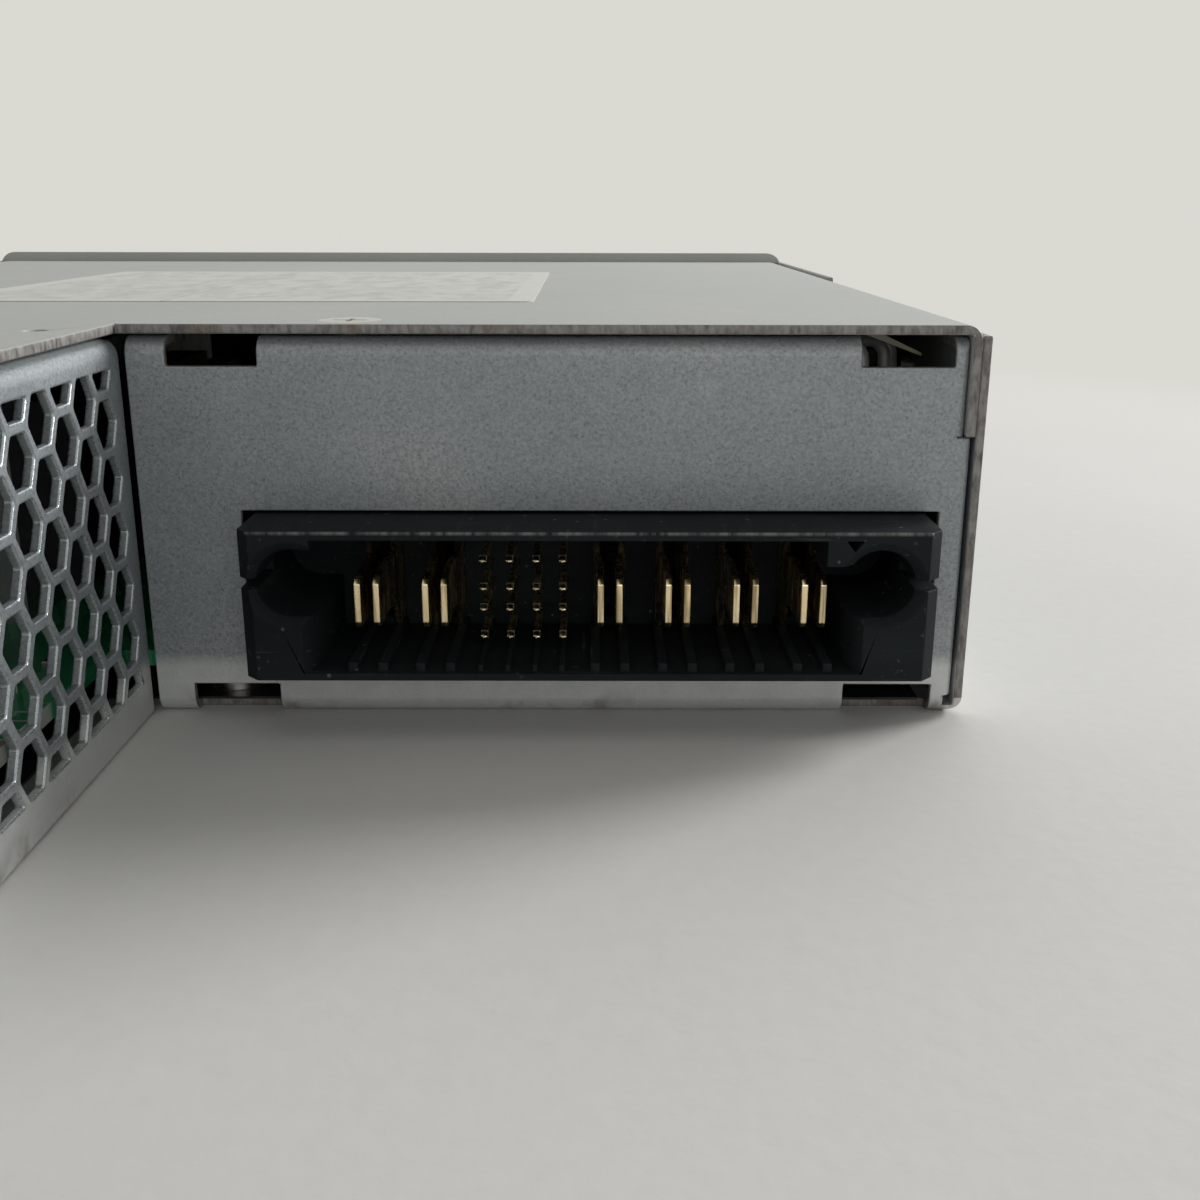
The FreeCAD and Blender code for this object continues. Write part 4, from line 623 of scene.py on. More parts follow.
@dataclass(frozen=True)
class Film(Finish):
    """Thin insulating film, slightly see-through."""

    colour: Colour
    deep: Colour
    alpha: float = 0.9

    def paint(self, s: Surface, where: Term) -> bpy.types.Material:
        """Paints the surface."""
        wave = s.noise(where, 120.0, 2.0)
        colour = s.mix(self.colour, self.deep, wave.ramp(0.35, 0.65))
        return s.finish(
            Base_Color=colour,
            Roughness=(wave * 0.16 + 0.14).held(),
            Alpha=self.alpha,
            Coat_Weight=0.4,
            Normal=s.bump(wave, 0.0002, 0.6),
        )


@dataclass(frozen=True)
class LabelPaper(Finish):
    """Slightly glossy white label film with pale ruled lines and a few scuffs."""

    white: Colour = (0.62, 0.625, 0.585)
    line: Colour = (0.37, 0.375, 0.36)

    def paint(self, s: Surface, where: Term) -> bpy.types.Material:
        """Paints the surface."""
        x, y, _ = s.split(where)
        rows = abs(s.node("ShaderNodeMath", {"operation": "PINGPONG"}, {0: y + 0.1, 1: 7.0 * MM}))
        ruled = rows.ramp(0.18 * MM, 0.10 * MM)
        column = abs(x + 9.0 * MM).ramp(0.20 * MM, 0.12 * MM)
        scuff = s.noise(s.stretch(where, (0.2, 1.0, 1.0)), 900.0, 3.0).ramp(0.62, 0.75)
        fibre = s.noise(where, 1600.0, 2.0)
        colour = s.mix(self.white, self.line, (ruled + column).held() * 0.75)
        field = abs(x + 2.3 * MM).ramp(32.6 * MM, 32.2 * MM) * abs(y - 7.0 * MM).ramp(33.0 * MM, 32.6 * MM)
        faded = s.noise(s.stretch(where, (1.0, 0.5, 1.0)), 320.0, 4.0, 0.7).ramp(0.40, 0.62)
        colour = s.mix(colour, tuple(0.72 * c for c in self.white), field * faded * 0.75)
        marks = (scuff * 0.5 + fibre.ramp(0.5, 0.8) * 0.2).held()
        colour = s.mix(colour, tuple(0.86 * c for c in self.white), marks)
        return s.finish(
            Base_Color=colour,
            Roughness=(fibre * 0.2 + 0.36).held(),
            Specular_IOR_Level=0.25,
            Normal=s.bump(fibre, 0.00002, 0.4),
        )


#: Y and Z in millimetres of the connector shell's long front edge
WORN_EDGE = (-65.0, 20.6)

FINISHES = {
    "case_steel": PlatedSteel("plated_case"),
    "cover_steel": PlatedSteel("plated_cover", (0.48, 0.49, 0.465), (0.39, 0.40, 0.38), grain=0.35,
                               wear_and_floor_light=0.5, roughness=0.62, metallic=0.08, shine=0.2),
    "cut_edge": CutEdge("cut_edge"),
    # partly painted highlight: the rounded hole rims are glossier, and their paler colour paints their bright
    # edge highlights
    "rim_steel": PlatedSteel("rounded_rim", (0.50, 0.54, 0.56), (0.36, 0.39, 0.41), grain=0.4, wear_and_floor_light=0.3,
                             roughness=0.27, metallic=0.7),
    "label_paper": LabelPaper("label_paper"),
    "chip_tan": Coated("ceramic_chip", (0.42, 0.28, 0.15), (0.34, 0.22, 0.12), 0.4, coat=0.2),
    "bright_screws": Metal("bright_screw", (0.80, 0.79, 0.76), (0.50, 0.46, 0.40)),
    "connector_black": Moulded("connector_plastic", (0.0100, 0.0125, 0.0138), (0.22, 0.22, 0.21),
                               scuffs=0.5, roughness=0.62, shine=0.08, worn=WORN_EDGE),
    # the gold carries painted dark reflections as vertical lanes
    "gold_contact": Metal("gold_contact", (0.98, 0.82, 0.52), (0.80, 0.58, 0.28), 0.24, painted_reflection_streaks=0.75),
    # painted glint: a paler, less metallic gold for the pin points
    "pin_point_glint": Metal("pin_point_glint", (0.98, 0.90, 0.70), (0.85, 0.72, 0.48), 0.34, metallic=0.55),
    "tinned_contact": Metal("tinned_contact", (0.72, 0.72, 0.70), (0.5, 0.5, 0.5), 0.28),
    "board_green": CircuitBoard("circuit_board"),
    "film": Film("insulating_film", (0.30, 0.29, 0.12), (0.20, 0.19, 0.07)),
    "film_black": Coated("black_insulation", (0.012, 0.012, 0.014), (0.022, 0.022, 0.024), 0.35, 140.0),
    "package_black": Moulded("chip_package", (0.014, 0.014, 0.016), roughness=0.5, scuffs=0.2),
    "can_black": Coated("capacitor_sleeve", (0.012, 0.012, 0.016), (0.022, 0.022, 0.028), 0.35, coat=0.3),
    "ferrite": Coated("ferrite", (0.03, 0.03, 0.032), (0.055, 0.052, 0.05), 0.7),
    "choke_wire": Wire("silver_winding", (0.86, 0.86, 0.84), (0.66, 0.66, 0.65), 0.45, 0.25),
    "copper_wire": Wire("copper_winding", (0.48, 0.17, 0.06), (0.30, 0.09, 0.03)),
    "tape_yellow": Coated("polyester_tape", (0.62, 0.46, 0.06), (0.52, 0.37, 0.04), 0.35, coat=0.3),
    "sink_aluminium": Metal("rolled_aluminium", (0.55, 0.56, 0.57), (0.42, 0.43, 0.44), 0.42),
    "fuse_ceramic": Coated("fuse_ceramic", (0.62, 0.60, 0.55), (0.55, 0.53, 0.48), 0.45),
    "fan_black": Moulded("fan_plastic", (0.014, 0.014, 0.016), roughness=0.48),
    "handle_black": Moulded("handle_coating", (0.016, 0.016, 0.018), roughness=0.42, shine=0.4),
    "latch_blue": Moulded("latch_plastic", (0.03, 0.10, 0.26), (0.16, 0.24, 0.38), roughness=0.4, shine=0.5),
    "light_clear": Coated("light_lens", (0.55, 0.62, 0.52), (0.48, 0.56, 0.46), 0.2, coat=0.6),
}


class Palette:
    """Makes each finish once and hands it out."""

    def __init__(self) -> None:
        """Starts with nothing made."""
        self.made: dict[str, bpy.types.Material] = {}

    def __getitem__(self, slot: str) -> bpy.types.Material:
        """The material of that slot."""
        if slot not in self.made:
            self.made[slot] = FINISHES[slot].make()
        return self.made[slot]


# -------------------------------------------------------------- shape making

#: points nearer than this are one, in metres
SAME_POINT = 0.002 * MM
#: the largest bend, in radians, between faces of one flat
FLAT = math.radians(0.4)
#: the smallest bend, in radians, along the long sides of a sheared edge
SHARP = math.radians(55.0)
#: how much of a sheared edge's outline is sharp, and its width for the sheet's thickness
SHARP_SHARE, EDGE_WIDTH = 0.86, 1.15
#: a softened piece's materials, in order
FACE, CUT, RIM = range(3)


def mesh_object(name: str, mesh: bpy.types.Mesh, smooth_under: float = 40.0) -> bpy.types.Object:
    """Puts a mesh in the scene with its faces smooth where they bend softly.

    Args:
        name: the piece's name.
        mesh: its mesh, already in place.
        smooth_under: the sharpest bend in degrees that is still shaded smooth.

    Returns:
        The object.
    """
    mesh.name = name
    mesh.shade_smooth()
    mesh.set_sharp_from_angle(angle=math.radians(smooth_under))
    return shown(name, mesh)


def baked(source: bpy.types.Object) -> bpy.types.Mesh:
    """The object's mesh with its modifiers applied; the object is removed."""
    graph = bpy.context.evaluated_depsgraph_get()
    mesh = bpy.data.meshes.new_from_object(source.evaluated_get(graph), depsgraph=graph)
    bpy.data.objects.remove(source)
    return mesh


def solid_copy(node: str) -> bmesh.types.BMesh:
    """The shape of the CAD node of that name, as joined faces."""
    work = bmesh.new()
    work.from_mesh(frame["nodes"][node].data)
    bmesh.ops.remove_doubles(work, verts=work.verts, dist=SAME_POINT)
    return work


def flats(work: bmesh.types.BMesh) -> list[list[bmesh.types.BMFace]]:
    """The shape's faces in groups that lie flat together."""
    left = set(work.faces)
    groups = []
    while left:
        first = left.pop()
        group, front = [first], [first]
        while front:
            face = front.pop()
            for edge in face.edges:
                if edge.calc_face_angle(math.pi) > FLAT:
                    continue
                for other in edge.link_faces:
                    if other in left:
                        left.remove(other)
                        group.append(other)
                        front.append(other)
        groups.append(group)
    return groups


def sheared(group: list[bmesh.types.BMFace], sheet: float) -> bool:
    """Whether a flat is the cut edge of a sheet: as narrow as the sheet, with sharp long sides.

    Args:
        group: the flat's faces.
        sheet: the sheet's thickness in millimetres.

    Returns:
        True for a cut edge.
    """
    inside = set(group)
    around = sharp = 0.0
    for face in group:
        for edge in face.edges:
            if all(other in inside for other in edge.link_faces):
                continue
            around += edge.calc_length()
            if edge.calc_face_angle(0.0) > SHARP:
                sharp += edge.calc_length()
    area = sum(face.calc_area() for face in group)
    return 2.0 * area < EDGE_WIDTH * sheet * MM * around and sharp > SHARP_SHARE * around


class Piece:
    """What stands in the scene for some of the nodes, or beside them."""

    def build(self, palette: Palette) -> bpy.types.Object | None:
        """Makes the piece.

        Args:
            palette: where its materials come from.

        Returns:
            The piece, or nothing where several are made.
        """
        raise NotImplementedError


@dataclass
class Softened(Piece):
    """A CAD node's shape with its hard edges rounded."""

    node: str
    slot: str
    width: float
    segments: int = 2
    over: float = 35.0
    finish: str = ""
    rim: str = ""
    sheet: float = 0.0

    def build(self, palette: Palette) -> bpy.types.Object:
        """Makes the piece in place of its node."""
        work = solid_copy(self.node)
        if self.sheet:
            for group in flats(work):
                cut = CUT if sheared(group, self.sheet) else FACE
                for face in group:
                    face.material_index = cut
        mesh = meshed(work, self.node)
        face = self.finish or self.slot
        for finish in (face, "cut_edge", self.rim or face):
            mesh.materials.append(palette[finish])
        mesh.shade_smooth()
        rough = shown("rough", mesh)
        put(
            rough.modifiers.new("rounding", "BEVEL"),
            width=self.width * MM,
            segments=self.segments,
            limit_method="ANGLE",
            angle_limit=math.radians(self.over),
            use_clamp_overlap=False,
            harden_normals=True,
            loop_slide=False,
            material=RIM if self.rim else -1,
            miter_outer="MITER_ARC" if self.segments > 1 else "MITER_SHARP",
        )
        put(rough.modifiers.new("flat", "WEIGHTED_NORMAL"), mode="FACE_AREA", weight=100)
        mesh = baked(rough)
        low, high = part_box(self.node)
        for vertex in mesh.vertices:
            vertex.co = [min(max(c, a), b) for c, a, b in zip(vertex.co, low, high)]
        mesh.name = f"{self.node}_piece"
        return present(shown(mesh.name, mesh), Body.CASE, self.slot, self.node)


def present(piece: bpy.types.Object, body: Body, slot: str, *nodes: str) -> bpy.types.Object:
    """Reports a piece, rides it on its body and hides the nodes that it stands for.

    Args:
        piece: the finished piece.
        body: what it moves with.
        slot: the record's material slot; not used.
        nodes: the CAD nodes that it replaces.

    Returns:
        The piece.
    """
    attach(piece, body.value)
    if nodes:
        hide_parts(*nodes)
    log.info("piece %s on %s", piece.name, body.value)
    return piece


# ------------------------------------------------------------- repeated parts


@dataclass
class Winding(Piece):
    """Round wire wound turn by turn over a ring core."""

    node: str
    slot: str
    outer: float
    inner: float
    low: float
    high: float
    wire: float
    turns: int
    parted: float = 0.0
    wobble: float = 0.03
    lean: float = 0.05
    swell: float = 0.015

    def build(self, palette: Palette) -> bpy.types.Object:
        """Makes the winding in place of its node."""
        low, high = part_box(self.node)
        middle = (low + high) / 2.0
        g = Grower(f"{self.node}_turns")
        wire = g.size("wire", self.wire * MM)
        span = g.size("span", (self.outer - self.inner) * MM)
        tall = g.size("tall", (self.high - self.low) * MM)
        reach = g.size("reach", (self.outer + self.inner) / 2.0 * MM)
        turns = g.size("turns", self.turns)
        parted = g.size("parted", math.radians(self.parted))
        sides = {"Width": span + wire, "Height": tall + wire}
        loop = g.node("GeometryNodeCurvePrimitiveQuadrilateral", {}, sides)
        corners = {"Curve": loop, "Count": 4, "Radius": wire * 1.1}
        loop = g.node("GeometryNodeFilletCurve", {"mode": "POLY"}, corners)
        ring = {"Resolution": 8, "Radius": wire * 0.5}
        thread = g.node("GeometryNodeCurvePrimitiveCircle", {}, ring, "Curve")
        turn = g.node("GeometryNodeCurveToMesh", {}, {"Curve": loop, "Profile Curve": thread})
        turn = g.moved(turn, g.vector(reach), (math.pi / 2.0, 0.0, 0.0))
        stack = {"Count": turns, "Start Location": tuple(middle), "Offset": (0, 0, 0)}
        points = g.node("GeometryNodeMeshLine", {}, stack)
        index = g.node("GeometryNodeInputIndex")
        share = (index + 0.5) / turns
        halves = 2.0 if self.parted else 1.0
        angle = share * (math.tau - parted * halves) + (share > 0.5) * parted + parted * 0.5
        angle = angle + g.chance(-self.wobble, self.wobble, 4) + math.pi / 2.0
        lean = g.chance(-self.wobble, self.wobble, 9) + self.lean
        swell = g.chance(1.0 - self.swell, 1.0 + self.swell, 2)
        shape = g.spread(points, turn, g.vector(lean, 0.0, angle), g.vector(swell, 1.0, swell))
        shape = g.node("GeometryNodeSetShadeSmooth", {}, {0: shape})
        mesh = g.grow(shape, palette[self.slot])
        piece = mesh_object(f"{self.node}_piece", mesh, 60.0)
        return present(piece, Body.CASE, self.slot, self.node)


@dataclass
class PinTips(Piece):
    """Pointed bright ends on the square signal pins, in a paler, less metallic gold that paints their glints.
    """

    columns: int = 4
    rows: tuple[float, ...] = (-3.78, -1.03, 1.03, 3.78)
    pitch: float = 2.54
    middle: float = 12.8
    side: float = 0.69
    point: float = 0.10
    length: float = 1.0
    inward: float = 0.9

    def build(self, palette: Palette) -> bpy.types.Object:
        """Makes all the tips."""
        low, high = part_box("signal_pins")
        first = (low.x + high.x) / 2.0 - self.pitch * MM * (self.columns - 1) / 2.0
        g = Grower("pin_tips")
        foot = g.size("foot", self.side * MM / math.sqrt(2.0))
        point = g.size("point", self.point * MM)
        length = g.size("length", self.length * MM)
        pitch = g.size("pitch", self.pitch * MM)
        count = g.size("count", self.columns)
        sizes = {"Vertices": 4, "Radius Top": point, "Radius Bottom": foot, "Depth": length}
        tip = g.node("GeometryNodeMeshCone", {}, sizes, "Mesh")
        for turn in ((0.0, 0.0, math.pi / 4.0), (math.pi / 2.0, 0.0, 0.0)):
            tip = g.moved(tip, (0.0, 0.0, 0.0), turn)
        lines = []
        for row in self.rows:
            start = (first, low.y + self.inward * MM, (self.middle + row) * MM)
            sockets = {"Count": count, "Start Location": start, "Offset": g.vector(pitch)}
            lines.append(g.node("GeometryNodeMeshLine", {}, sockets))
        mesh = g.grow(g.spread(g.joined(*lines), tip), palette["pin_point_glint"])
        return present(mesh_object("signal_pin_tips", mesh, 20.0), Body.CASE, "gold_contact")


@dataclass
class PanHeads(Piece):
    """Domed screw heads with a cross recess on the handle end."""

    centres: tuple[float, ...] = (-59.0, -22.2)
    height: float = 19.25
    spread: float = 15.3
    radius: float = 2.4
    rise: float = 1.3
    rim: float = 0.35
    arm: float = 2.5
    slit: float = 0.55
    deep: float = 0.6
    turns: tuple[float, ...] = (0.3, 1.1, 0.7, 0.1, 1.4, 0.5, 0.9, 0.2)

    def head(self) -> bpy.types.Mesh:
        """One head about the Y axis, with its foot at Y = 0.

        Returns:
            The mesh.
        """
        work = bmesh.new()
        profile = [(self.radius, 0.0), (self.radius, self.rim * self.rise)]
        profile += [(self.radius * math.cos(a), (self.rim + (1.0 - self.rim) * math.sin(a)) * self.rise)
                    for a in (math.radians(15.0 * step) for step in range(1, 7))]
        points = [work.verts.new((0.0, 0.0, 0.0))]
        points += [work.verts.new((x * MM, y * MM, 0.0)) for x, y in profile]
        edges = [work.edges.new(pair) for pair in zip(points, points[1:])]
        bmesh.ops.spin(work, geom=points + edges, axis=(0, 1, 0), cent=(0, 0, 0), steps=28, angle=math.tau)
        bmesh.ops.remove_doubles(work, verts=work.verts, dist=SAME_POINT)
        bmesh.ops.recalc_face_normals(work, faces=work.faces)
        mesh = meshed(work, "head")
        for sides in ((self.arm, self.slit), (self.slit, self.arm)):
            mesh = self.slotted(mesh, sides)
        return mesh

    def slotted(self, mesh: bpy.types.Mesh, sides: tuple[float, float]) -> bpy.types.Mesh:
        """The head with one arm of the cross cut into it.

        Args:
            mesh: the head so far.
            sides: the arm's sizes along X and Z, in millimetres.

        Returns:
            The cut head.
        """
        work = bmesh.new()
        bmesh.ops.create_cube(work, size=1.0)
        wide, tall = (side * MM for side in sides)
        bmesh.ops.scale(work, verts=work.verts, vec=(wide, 2.0 * self.deep * MM, tall))
        bmesh.ops.translate(work, verts=work.verts, vec=(0.0, self.rise * MM, 0.0))
        arm = shown("arm", meshed(work, "arm"))
        head = shown("head", mesh)
        put(head.modifiers.new("cut", "BOOLEAN"), operation="DIFFERENCE", solver="EXACT", object=arm)
        cut = baked(head)
        bpy.data.objects.remove(arm)
        return cut

    def build(self, palette: Palette) -> bpy.types.Object:
        """Makes the heads in place of the plain screws."""
        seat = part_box("front_panel")[1].y
        head = self.head()
        work = bmesh.new()
        places = [(x + dx * self.spread, self.height + dz * self.spread)
                  for x in self.centres for dx in (-1, 1) for dz in (-1, 1)]
        for (x, z), turn in zip(places, self.turns):
            copy = head.copy()
            copy.transform(Matrix.Translation((x * MM, seat, z * MM)) @ Matrix.Rotation(turn, 4, "Y"))
            work.from_mesh(copy)
        mesh = meshed(work, "fan_screw_heads")
        mesh.materials.append(palette["bright_screws"])
        return present(mesh_object("fan_screw_heads", mesh, 35.0), Body.CASE, "bright_screws", "fan_screws")


#: the top of the main board, in millimetres
BOARD_TOP = 6.3
#: areas of the board as a low corner, a high corner and a height, and the sizes of its chips
BESIDE_VENT = ((-23.0, -112.0), (-12.0, -60.0), BOARD_TOP)
BEHIND_WALL = ((2.0, -34.0), (70.0, 60.0), BOARD_TOP)
SMALL_CHIP = (1.6, 0.8, 0.5)
TALL_CHIP = (2.0, 1.25, 1.1)


@dataclass
class SurfaceParts(Piece):
    """Small flat parts soldered in rows and clusters on the board, with bright ends."""

    name: str
    low: tuple[float, float]
    high: tuple[float, float]
    top: float
    size: tuple[float, float, float]
    apart: float
    seed: int
    slot: str
    kept: float = 0.6

    def shape(self, name: str, ends: bool, finish: bpy.types.Material) -> bpy.types.Mesh:
        """Grows the bodies, or the bright ends, of all the parts.

        Args:
            name: what the mesh's tree is called.
            ends: whether the ends are wanted instead of the bodies.
            finish: what they are made of.

        Returns:
            The mesh.
        """
        g = Grower(name)
        length, width, tall = (g.size(n, v * MM) for n, v in zip(("length", "width", "height"), self.size))
        apart = g.size("apart", self.apart * MM)
        cap = length * 0.22
        if ends:
            lump = g.node("GeometryNodeMeshCube", {}, {"Size": g.vector(cap, width * 1.04, tall * 1.02)})
            shift = length * 0.5 - cap * 0.5
            part = g.joined(g.moved(lump, g.vector(shift)), g.moved(lump, g.vector(shift * -1.0)))
        else:
            part = g.node("GeometryNodeMeshCube", {}, {"Size": g.vector(length * 0.98, width, tall)})
        wide, deep = ((b - a) * MM for a, b in zip(self.low, self.high))
        centre = tuple((a + b) / 2.0 * MM for a, b in zip(self.low, self.high))
        region = g.node("GeometryNodeMeshGrid", {}, {"Size X": wide, "Size Y": deep})
        region = g.moved(region, (*centre, (self.top + self.size[2] / 2.0) * MM))
        sockets = {"Mesh": region, "Distance Min": apart, "Density Max": 90000.0, "Seed": self.seed}
        settings = {"distribute_method": "POISSON"}
        points = g.node("GeometryNodeDistributePointsOnFaces", settings, sockets, "Points")
        away = g.chance(0.0, 1.0, self.seed + 1) > self.kept
        sockets = {"Geometry": points, "Selection": away}
        points = g.node("GeometryNodeDeleteGeometry", {"domain": "POINT"}, sockets)
        quarter = g.chance(0.0, 1.0, self.seed + 2) > 0.5
        shape = g.spread(points, part, g.vector(0.0, 0.0, quarter * (math.pi / 2.0)))
        return g.grow(shape, finish)

    def build(self, palette: Palette) -> None:
        """Makes the bodies and the ends."""
        for kind, finish, slot in (
            ("bodies", self.slot, "package_black"),
            ("ends", "tinned_contact", "tinned_contact"),
        ):
            name = f"{self.name}_{kind}"
            mesh = self.shape(name, kind == "ends", palette[finish])
            work = bmesh.new()
            work.from_mesh(mesh)
            bmesh.ops.bevel(work, geom=list(work.edges), offset=0.06 * MM, segments=1, affect="EDGES")
            work.to_mesh(mesh)
            work.free()
            present(mesh_object(name, mesh, 20.0), Body.CASE, slot)


@dataclass
class CoverLabel(Piece):
    """The bare printed label on the cover: a white sheet with ruled lines and rounded corners."""

    low: tuple[float, float] = (-37.4, -28.5)
    high: tuple[float, float] = (32.8, 42.5)
    thick: float = 0.08
    lift: float = 0.01
    corner: float = 1.5
    turned: float = 0.6

    def build(self, palette: Palette) -> bpy.types.Object:
        """Makes the label on the cover."""
        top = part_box("top_cover")[1].z
        work = bmesh.new()
        outline = []
        left, near = (edge + self.corner for edge in self.low)
        right, far = (edge - self.corner for edge in self.high)
        for quarter, (x, y) in enumerate(((right, far), (left, far), (left, near), (right, near))):
            for step in range(7):
                angle = math.radians(90.0 * quarter + 15.0 * step)
                corner_x = x + self.corner * math.cos(angle)
                corner_y = y + self.corner * math.sin(angle)
                outline.append(work.verts.new((corner_x * MM, corner_y * MM, top + self.lift * MM)))
        sheet = work.faces.new(outline)
        raised = bmesh.ops.extrude_face_region(work, geom=[sheet])
        verts = [item for item in raised["geom"] if isinstance(item, bmesh.types.BMVert)]
        bmesh.ops.translate(work, verts=verts, vec=(0.0, 0.0, self.thick * MM))
        centre = Vector(((self.low[0] + self.high[0]) / 2.0, (self.low[1] + self.high[1]) / 2.0, 0.0)) * MM
        turn = Matrix.Rotation(math.radians(self.turned), 3, "Z")
        bmesh.ops.rotate(work, verts=work.verts, cent=centre, matrix=turn)
        bmesh.ops.recalc_face_normals(work, faces=work.faces)
        mesh = meshed(work, "cover_label")
        mesh.materials.append(palette["label_paper"])
        return present(mesh_object("cover_label", mesh, 30.0), Body.CASE, "fuse_ceramic")


# -------------------------------------------------------------------- studio


@dataclass(frozen=True)
class Lamp:
    """One soft round lamp that faces the middle of the floor."""

    name: str
    place: tuple[float, float, float]
    size: float
    power: float

    def build(self) -> None:
        """Adds the lamp."""
        light = bpy.data.lights.new(self.name, "AREA")
        facing = (-Vector(self.place)).to_track_quat("-Z", "Y").to_euler()
        lamp = shown(self.name, put(light, shape="DISK", size=self.size, energy=self.power))
        put(lamp, location=self.place, rotation_euler=facing)


@dataclass
class Studio:
    """Camera, lamps, floor and surroundings."""

    lens: float = 38.94
    sensor: float = 36.0
    nearest: float = 0.005
    farthest: float = 20.0
    eye: tuple[float, float, float] = (40.6, -179.25, 48.71)
    pitch: float = 16.784
    turn: float = 0.081
    roll: float = -0.114
    backdrop: Colour = (0.70, 0.69, 0.645)
    floor: Colour = (0.65, 0.64, 0.615)
    ambient: float = 0.36
    lamps: tuple[Lamp, ...] = (
        Lamp("back", (0.36, 0.80, 0.84), 0.8, 3.6),
        Lamp("side", (1.06, 0.50, 0.42), 0.5, 15.5),
        Lamp("fill", (0.25, -1.15, 0.32), 0.8, 1.6),
    )

    def camera(self) -> None:
        """Places the camera."""
        pitch, turn, roll = (math.radians(a) for a in (self.pitch, self.turn, self.roll))
        ahead = Vector((math.sin(turn) * math.cos(pitch), math.cos(turn) * math.cos(pitch), -math.sin(pitch)))
        side = Vector((math.cos(turn), -math.sin(turn), 0.0))
        down = ahead.cross(side)
        right = side * math.cos(roll) + down * math.sin(roll)
        below = down * math.cos(roll) - side * math.sin(roll)
        turned = Matrix((right, -below, -ahead)).transposed().to_4x4()
        data = put(bpy.data.cameras.new("camera"), lens=self.lens, sensor_width=self.sensor)
        seen = shown("camera", put(data, clip_start=self.nearest, clip_end=self.farthest))
        seen.matrix_world = Matrix.Translation(Vector(self.eye) * MM) @ turned
        bpy.context.scene.camera = seen

    def surroundings(self) -> None:
        """Sets the world: plain light, and the backdrop's colour where it is seen."""
        world = bpy.data.worlds.new("surroundings")
        world.use_nodes = True
        tree = Tree(world.node_tree)
        path = tree.node("ShaderNodeLightPath", out="Is Camera Ray")
        rays = path.socket.node.outputs
        passed, glossy = (Term(tree, rays[f"Is {kind} Ray"]) for kind in ("Transmission", "Glossy"))
        seen = (path + passed + glossy * 0.6).held()
        plain = tree.node("ShaderNodeBackground", {}, {"Color": (1.0, 1.0, 0.98), "Strength": self.ambient})
        pale = tree.node("ShaderNodeBackground", {}, {"Color": self.backdrop, "Strength": 1.0})
        mixed = tree.node("ShaderNodeMixShader", {}, {0: seen, 1: plain, 2: pale})
        tree.node("ShaderNodeOutputWorld", {}, {"Surface": mixed})
        bpy.context.scene.world = world

    def floor_disc(self) -> None:
        """Adds the pale paper floor, which fades into the backdrop far off."""
        work = bmesh.new()
        bmesh.ops.create_circle(work, cap_ends=True, radius=3.0, segments=96)
        mesh = meshed(work, "floor")
        disc = shown("floor", mesh)
        s = Surface("pale_paper")
        where = s.place()
        broad = s.noise(where, 14.0, 3.0)
        fine = s.noise(where, 520.0, 3.0)
        shade = (broad * 0.6 + fine * 0.4).ramp(0.3, 0.7)
        colour = s.mix(self.floor, tuple(0.94 * c for c in self.floor), shade)
        sockets = {"Base Color": colour, "Roughness": 0.85, "Normal": s.bump(fine, 0.00008, 0.4)}
        paper = s.node("ShaderNodeBsdfPrincipled", {}, sockets)
        glow = s.node("ShaderNodeEmission", {}, {"Color": self.backdrop, "Strength": 1.0})
        off = s.node("ShaderNodeVectorMath", {"operation": "LENGTH"}, {0: where}, "Value")
        camera_ray = s.node("ShaderNodeLightPath", out="Is Camera Ray")
        far = off.ramp(0.14, 0.30) * camera_ray
        mixed = s.node("ShaderNodeMixShader", {}, {0: far, 1: paper, 2: glow})
        s.node("ShaderNodeOutputMaterial", {}, {"Surface": mixed})
        mesh.materials.append(s.material)

    def build(self) -> None:
        """Makes the whole studio."""
        scene = bpy.context.scene
        scene.view_settings.view_transform = "Standard"
        self.camera()
        self.surroundings()
        self.floor_disc()
        for lamp in self.lamps:
            lamp.build()


# ----------------------------------------------------------------- assembly


def dress_nodes(palette: Palette) -> None:
    """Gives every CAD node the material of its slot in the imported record."""
    for row in frame["record"]["subparts"]:
        materials = frame["nodes"][row["node"]].data.materials
        materials.clear()
        materials.append(palette[row["material_slot"]])
        log.info("node %s in %s", row["node"], row["material_slot"])


def main() -> None:
    """Builds the scene in order."""
    logging.basicConfig(level=logging.INFO, format="%(name)s %(message)s")
    palette = Palette()
    dress_nodes(palette)
    for piece in (
        Softened("base_tray", "case_steel", 0.16, sheet=0.9),
        Softened("top_cover", "case_steel", 0.14, finish="cover_steel", sheet=0.9),
        Softened("vent_panel", "case_steel", 0.22, 3, rim="rim_steel"),
        Softened("end_grille", "case_steel", 0.18, 2, rim="rim_steel"),
        # painted light: the front panel takes the paler cover finish, which lightens its rim that shows in
        # shade past the cover's far end
        Softened("front_panel", "case_steel", 0.12, 1, finish="cover_steel", sheet=0.9),
        Softened("connector_shell", "connector_black", 0.08),
        Softened("power_blades", "gold_contact", 0.12, 2),
        Softened("signal_pins", "gold_contact", 0.06, 1),
        Winding("output_choke_winding", "choke_wire", 10.3, 5.2, 22.2, 34.8, 1.4, 19),
        Winding("pfc_choke_winding", "copper_wire", 15.0, 8.0, 8.8, 28.3, 1.5, 28),
        Winding("line_choke_windings", "copper_wire", 12.0, 6.5, 8.8, 24.3, 1.3, 22, 30.0),
        SurfaceParts("chips_small", *BESIDE_VENT, SMALL_CHIP, 2.2, 11, "package_black"),
        SurfaceParts("chips_tan", *BESIDE_VENT, TALL_CHIP, 4.0, 23, "chip_tan", 0.5),
        SurfaceParts("chips_front", *BEHIND_WALL, SMALL_CHIP, 3.4, 31, "package_black", 0.4),
        PinTips(),
        PanHeads(),
        CoverLabel(),
    ):
        piece.build(palette)
    Studio().build()


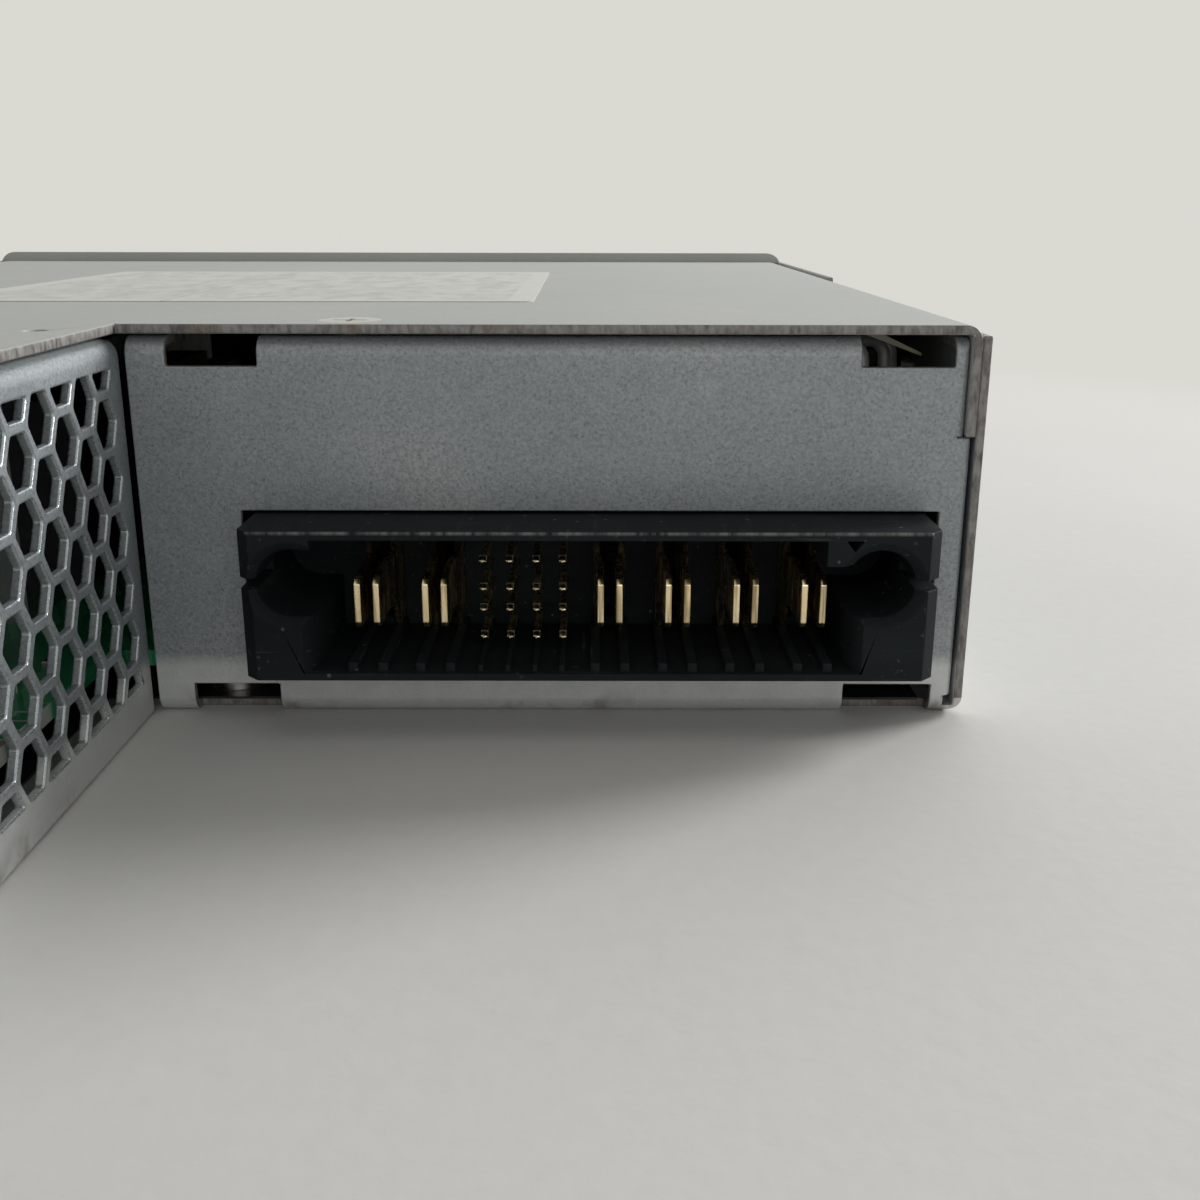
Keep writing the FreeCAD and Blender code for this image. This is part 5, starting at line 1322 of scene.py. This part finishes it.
if __name__ == "__main__":
    main()
